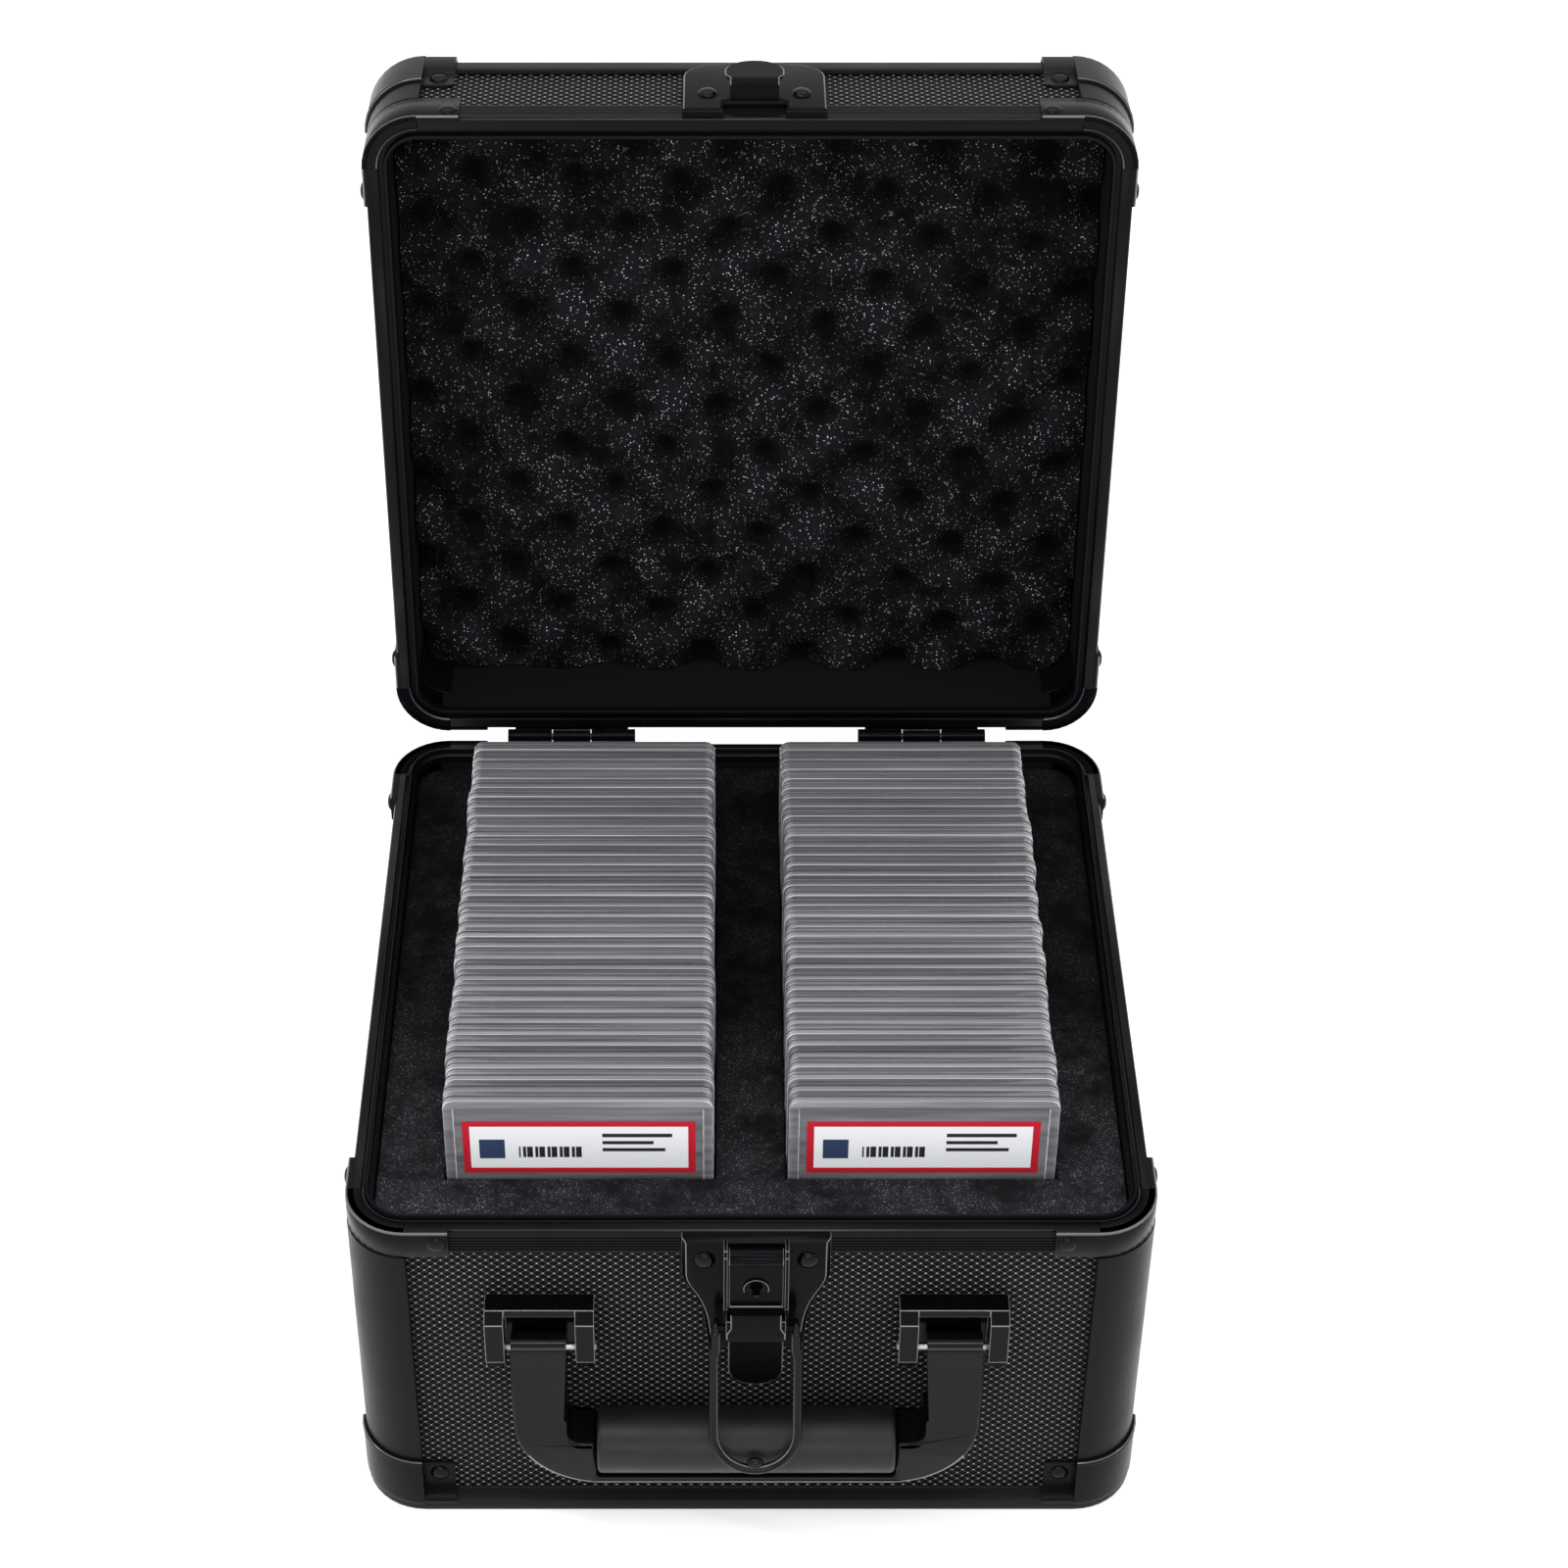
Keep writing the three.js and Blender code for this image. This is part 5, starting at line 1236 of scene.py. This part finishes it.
hook = folded_strip(
    "hook", [(1.5, hook_low), (9.4, hook_low), (9.4, hook_high)], [0, 1.8, 0], 18, hook_half, lid_plane, 1.5 * mm)
keeper = joined("keeper_tray", [keeper, hook])
bpy.ops.object.shade_smooth_by_angle(angle=math.radians(35))
keeper.data.transform(open_lid)
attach(keeper, "lid")
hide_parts("lid_keeper")
for sign, side in ((-1, "left"), (1, "right")):
    rivet_head(f"keeper_rivet_{side}", (
        latch_x + sign * 14.6 * mm, case_middle + case_half.y + keeper_face, lid_height - 12.3 * mm),
        (0, 1, 0), "lid", height=1.6 * mm, radius=3.1 * mm)
soften("bail_pin", 0.2 * mm)
paint_node("bail_pin", latch_black)
for side in ("left", "right"):
    for name in ("hinge_base_leaf", "hinge_lid_leaf", "hinge_pin"):
        # Their rounded edges carry a painted highlight.
        soften(f"{name}_{side}", 0.25 * mm, bright=True)
        paint_node(f"{name}_{side}", latch_black, edge_highlight_coat)

# Wire bail. Round steel wire bent to a loop, with a joggle below its eyes and a weld at its end.
bail_black = coat("bail_black", (0.003, 0.003, 0.004), 0.1, 0.16, depth=0.02)
bail_joint = next(joint for joint in frame["joints"] if joint["name"] == "bail_swing")
bail_pin = Vector(bail_joint["pos_m"])
bail_hang = math.radians(19.9)
wire_radius = 1.45 * mm
bail_half = 12.75 * mm
bail_neck = 12.1 * mm
bail_length = 48.5 * mm
bpy.ops.object.select_all(action="DESELECT")
bpy.ops.mesh.primitive_circle_add(vertices=16, radius=wire_radius, fill_type="NGON")
bail = bpy.context.object
bail.name = "bail_wire"
bail.data.transform(Matrix.Translation((-bail_neck, 0, -1.5 * mm)))
bpy.ops.object.mode_set(mode="EDIT")
bpy.ops.mesh.select_mode(type="FACE")
bpy.ops.mesh.select_all(action="SELECT")


def draw_wire(steps):
    for move in steps:
        bpy.ops.mesh.extrude_region_move(TRANSFORM_OT_translate={"value": move})


joggle = bail_half - bail_neck
straight = bail_length - bail_half - 10 * mm
draw_wire([(0, 0, -6 * mm), (-0.3 * joggle, 0, -1 * mm), (-0.7 * joggle, 0, -1.5 * mm),
           (0, 0, -0.5 * straight), (0, 0, -0.5 * straight)])
bpy.ops.mesh.spin(steps=24, angle=math.pi, center=(0, 0, -1.5 * mm - 8.5 * mm - straight), axis=(0, 1, 0))
draw_wire([(0, 0, 0.5 * straight), (0, 0, 0.5 * straight), (-0.7 * joggle, 0, 1.5 * mm),
           (-0.3 * joggle, 0, 1 * mm), (0, 0, 6 * mm)])
bpy.ops.mesh.select_all(action="SELECT")
bpy.ops.mesh.remove_doubles(threshold=0.01 * mm)
bpy.ops.mesh.normals_make_consistent(inside=False)
bpy.ops.object.mode_set(mode="OBJECT")
eyes = []
for sign in (-1, 1):
    bpy.ops.object.select_all(action="DESELECT")
    bpy.ops.mesh.primitive_torus_add(
        major_radius=2.1 * mm, minor_radius=0.95 * mm, major_segments=28, minor_segments=12)
    eye = bpy.context.object
    eye.data.transform(
        Matrix.Translation((sign * bail_neck, 0, 0)) @ Matrix.Rotation(math.pi / 2, 4, "Y"))
    finished(eye, bail_black, latch_highlight_coat)
    eyes.append(eye)
bpy.ops.object.select_all(action="DESELECT")
bpy.ops.mesh.primitive_uv_sphere_add(segments=20, ring_count=12, radius=1)
weld = bpy.context.object
weld.data.transform(
    Matrix.Translation((0, -0.3 * mm, 2.6 * mm - bail_length)) @ Matrix.Diagonal((2.6 * mm, 1.5 * mm, 1.7 * mm, 1)))
finished(weld, bail_black, latch_highlight_coat)
bend_height = bail_half - bail_length
finished(bail, bail_black, latch_highlight_coat)
# Painted highlights: thin lines along the inner and outer sides of the wire.
for face in bail.data.polygons:
    inward = Vector((-face.center.x, 0, min(0.0, face.center.z - bend_height) * -1))
    facing_in = face.normal.dot(inward.normalized())
    if face.normal.y < 0 and (0.68 < facing_in < 0.95 or -0.98 < facing_in < -0.9):
        face.material_index = 1
bail = joined("bail_wire", [bail] + eyes + [weld])
bail.data.transform(Matrix.Translation(bail_pin) @ Matrix.Rotation(-bail_hang, 4, "X"))
bpy.ops.object.shade_smooth_by_angle(angle=math.radians(50))
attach(bail, "wire_bail")
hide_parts("wire_bail")

# Handle. Two brackets on the front carry a glossy moulded frame, with two thick arms and a thin band
# below a soft matte grip.
bracket_black = coat("bracket_black", (0.002, 0.002, 0.003), 0.16, 0.09, depth=0.02)
handle_gloss = coat("handle_gloss", (0.003, 0.003, 0.004), 0.12, 0.18, grain=500.0, depth=0.015)
# The edge finish paints a highlight: a lighter base colour on a glossier coat.
handle_highlight_coat = coat("handle_highlight_coat", (0.16, 0.16, 0.165), 0.2, 0.8, depth=0.02)
for name in ("handle_bracket_left", "handle_bracket_right"):
    # The brackets' rounded edges carry a painted highlight.
    soften(name, 0.45 * mm, bright=True)
    paint_node(name, bracket_black, handle_highlight_coat)

handle_joint = next(joint for joint in frame["joints"] if joint["name"] == "handle_swing")
handle_pivot = Vector(handle_joint["pos_m"])
grip_low, grip_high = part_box("handle_grip")
grip_middle = (grip_low + grip_high) / 2 + Vector((0, 0, 2.4 * mm))
grip_radius = 10.3 * mm
arm_outer = 71.4
arm_inner = 54.6
hub_round = 4.6
outer_round = 27
grip_end = 46.1
frame_low = grip_middle.z / mm - 13.4
band_top = frame_low + 2.4
pocket_low = grip_middle.z / mm + 4.2
pocket_round = 4
frame_half = [(arm_inner, handle_pivot.z / mm + hub_round), (arm_inner, pocket_low + pocket_round + 4)]
for step in range(7):
    angle = math.pi / 2 * step / 6
    frame_half.append((arm_inner - pocket_round + pocket_round * math.cos(angle),
                       pocket_low + pocket_round - pocket_round * math.sin(angle)))
frame_half += [(grip_end, pocket_low), (grip_end, band_top)]
outer_half = [(arm_outer, handle_pivot.z / mm + hub_round)]
for step in range(17):
    angle = math.pi / 2 * step / 16
    outer_half.append((arm_outer - outer_round + outer_round * math.cos(angle),
                       frame_low + outer_round - outer_round * math.sin(angle)))
outline = list(reversed(frame_half)) + outer_half
outline += [(-across, up) for across, up in reversed(outline)]
handle = section_face("moulded_frame", outline, lambda across, up: (
    handle_pivot.x + across, front_face - 17 * mm, up))
draw_out((0, 15 * mm, 0))
for up in (0, 1.5, 2.8, 3.8, 4.35):
    bpy.ops.mesh.select_all(action="SELECT")
    bpy.ops.mesh.bisect(plane_co=(0, 0, handle_pivot.z + up * mm), plane_no=(0, 0, 1))
for up in (11.4, 8.1, 4.1, 0.1):
    bpy.ops.mesh.select_all(action="SELECT")
    bpy.ops.mesh.bisect(plane_co=(0, 0, grip_middle.z + up * mm), plane_no=(0, 0, 1))
bpy.ops.object.mode_set(mode="OBJECT")
arm_side = [(frame_low, 17.0, 1.5), (grip_middle.z / mm + 0.1, 17.0, 1.5),
            (grip_middle.z / mm + 4.1, 16.5, 1.5), (grip_middle.z / mm + 8.1, 15.4, 1.5),
            (grip_middle.z / mm + 11.4, 14.0, 1.5),
            (handle_pivot.z / mm, 9.2, 0.0)]
for vertex in handle.data.vertices:
    up = vertex.co.z / mm
    is_front = vertex.co.y < front_face - 10 * mm
    over = up - handle_pivot.z / mm
    if over > 0:
        reach = math.sqrt(max(0.0, hub_round ** 2 - over ** 2))
        out = hub_round + (reach if is_front else -reach)
    else:
        for (low, front_low, back_low), (high, front_high, back_high) in zip(arm_side, arm_side[1:]):
            if low - 0.01 <= up <= high + 0.01:
                share = (up - low) / (high - low)
                out = front_low + (front_high - front_low) * share
                if not is_front:
                    out = back_low + (back_high - back_low) * share
    vertex.co.y = front_face - out * mm
finished(handle, handle_gloss, handle_highlight_coat)
closed_up(handle)
bpy.ops.object.mode_set(mode="EDIT")
bpy.ops.mesh.select_mode(type="EDGE")
bpy.ops.mesh.select_all(action="DESELECT")
bpy.ops.mesh.edges_select_sharp(sharpness=math.radians(40))
bpy.ops.object.mode_set(mode="OBJECT")
sharp = {frozenset(line.vertices) for line in handle.data.edges if line.select}
points = handle.data.vertices
low_sharp = {
    frozenset((tuple(points[first].co), tuple(points[second].co))) for first, second in sharp
    if max(points[first].co.z, points[second].co.z) < handle_pivot.z - 2 * mm}
select_edges(handle, lambda a, b: frozenset((tuple(a), tuple(b))) in low_sharp)
bpy.ops.mesh.bevel(offset=1.2 * mm, segments=4)
bpy.ops.object.mode_set(mode="OBJECT")
# A painted highlight along the lower front edges of the frame.
mark_painted_highlight(handle, lambda face: (
    -0.8 < face.normal.z < -0.1 and face.normal.y < -0.3 and face.center.z < grip_middle.z))
pin_steel = coat("pin_steel", (0.35, 0.35, 0.36), 0.3, 0.5, metal=1.0, depth=0.02)
pin_parts = []
for sign in (-1, 1):
    bpy.ops.object.select_all(action="DESELECT")
    bpy.ops.mesh.primitive_cylinder_add(vertices=24, radius=1.2 * mm, depth=34 * mm)
    pin = bpy.context.object
    pin_place = (handle_pivot.x + sign * 62.4 * mm, handle_pivot.y, handle_pivot.z)
    pin.data.transform(Matrix.Translation(pin_place) @ Matrix.Rotation(math.pi / 2, 4, "Y"))
    finished(pin, pin_steel, handle_highlight_coat)
    # A painted highlight on the pin's rounded ends.
    eased(pin, 0.4 * mm, bright=True)
    pin_parts.append(pin)
handle = joined("moulded_frame", [handle] + pin_parts)
bpy.ops.object.shade_smooth_by_angle(angle=math.radians(35))
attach(handle, "handle")
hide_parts("handle_frame")

grip_matte = coat("grip_matte", (0.008, 0.008, 0.010), 0.45, 0.28, grain=2200.0, depth=0.5)
bpy.ops.object.select_all(action="DESELECT")
bpy.ops.mesh.primitive_cylinder_add(vertices=64, radius=grip_radius, depth=grip_high.x - grip_low.x)
grip = bpy.context.object
grip.name = "matte_grip"
grip.data.transform(
    Matrix.Translation(grip_middle) @ Matrix.Rotation(math.pi / 2, 4, "Y"))
select_edges(grip, lambda a, b: abs(a.x - b.x) < 1e-6)
bpy.ops.mesh.bevel(offset=1.6 * mm, segments=4)
bpy.ops.object.mode_set(mode="OBJECT")
bpy.ops.object.shade_smooth_by_angle(angle=math.radians(40))
grip.data.materials.append(grip_matte)
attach(grip, "handle")
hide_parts("handle_grip")
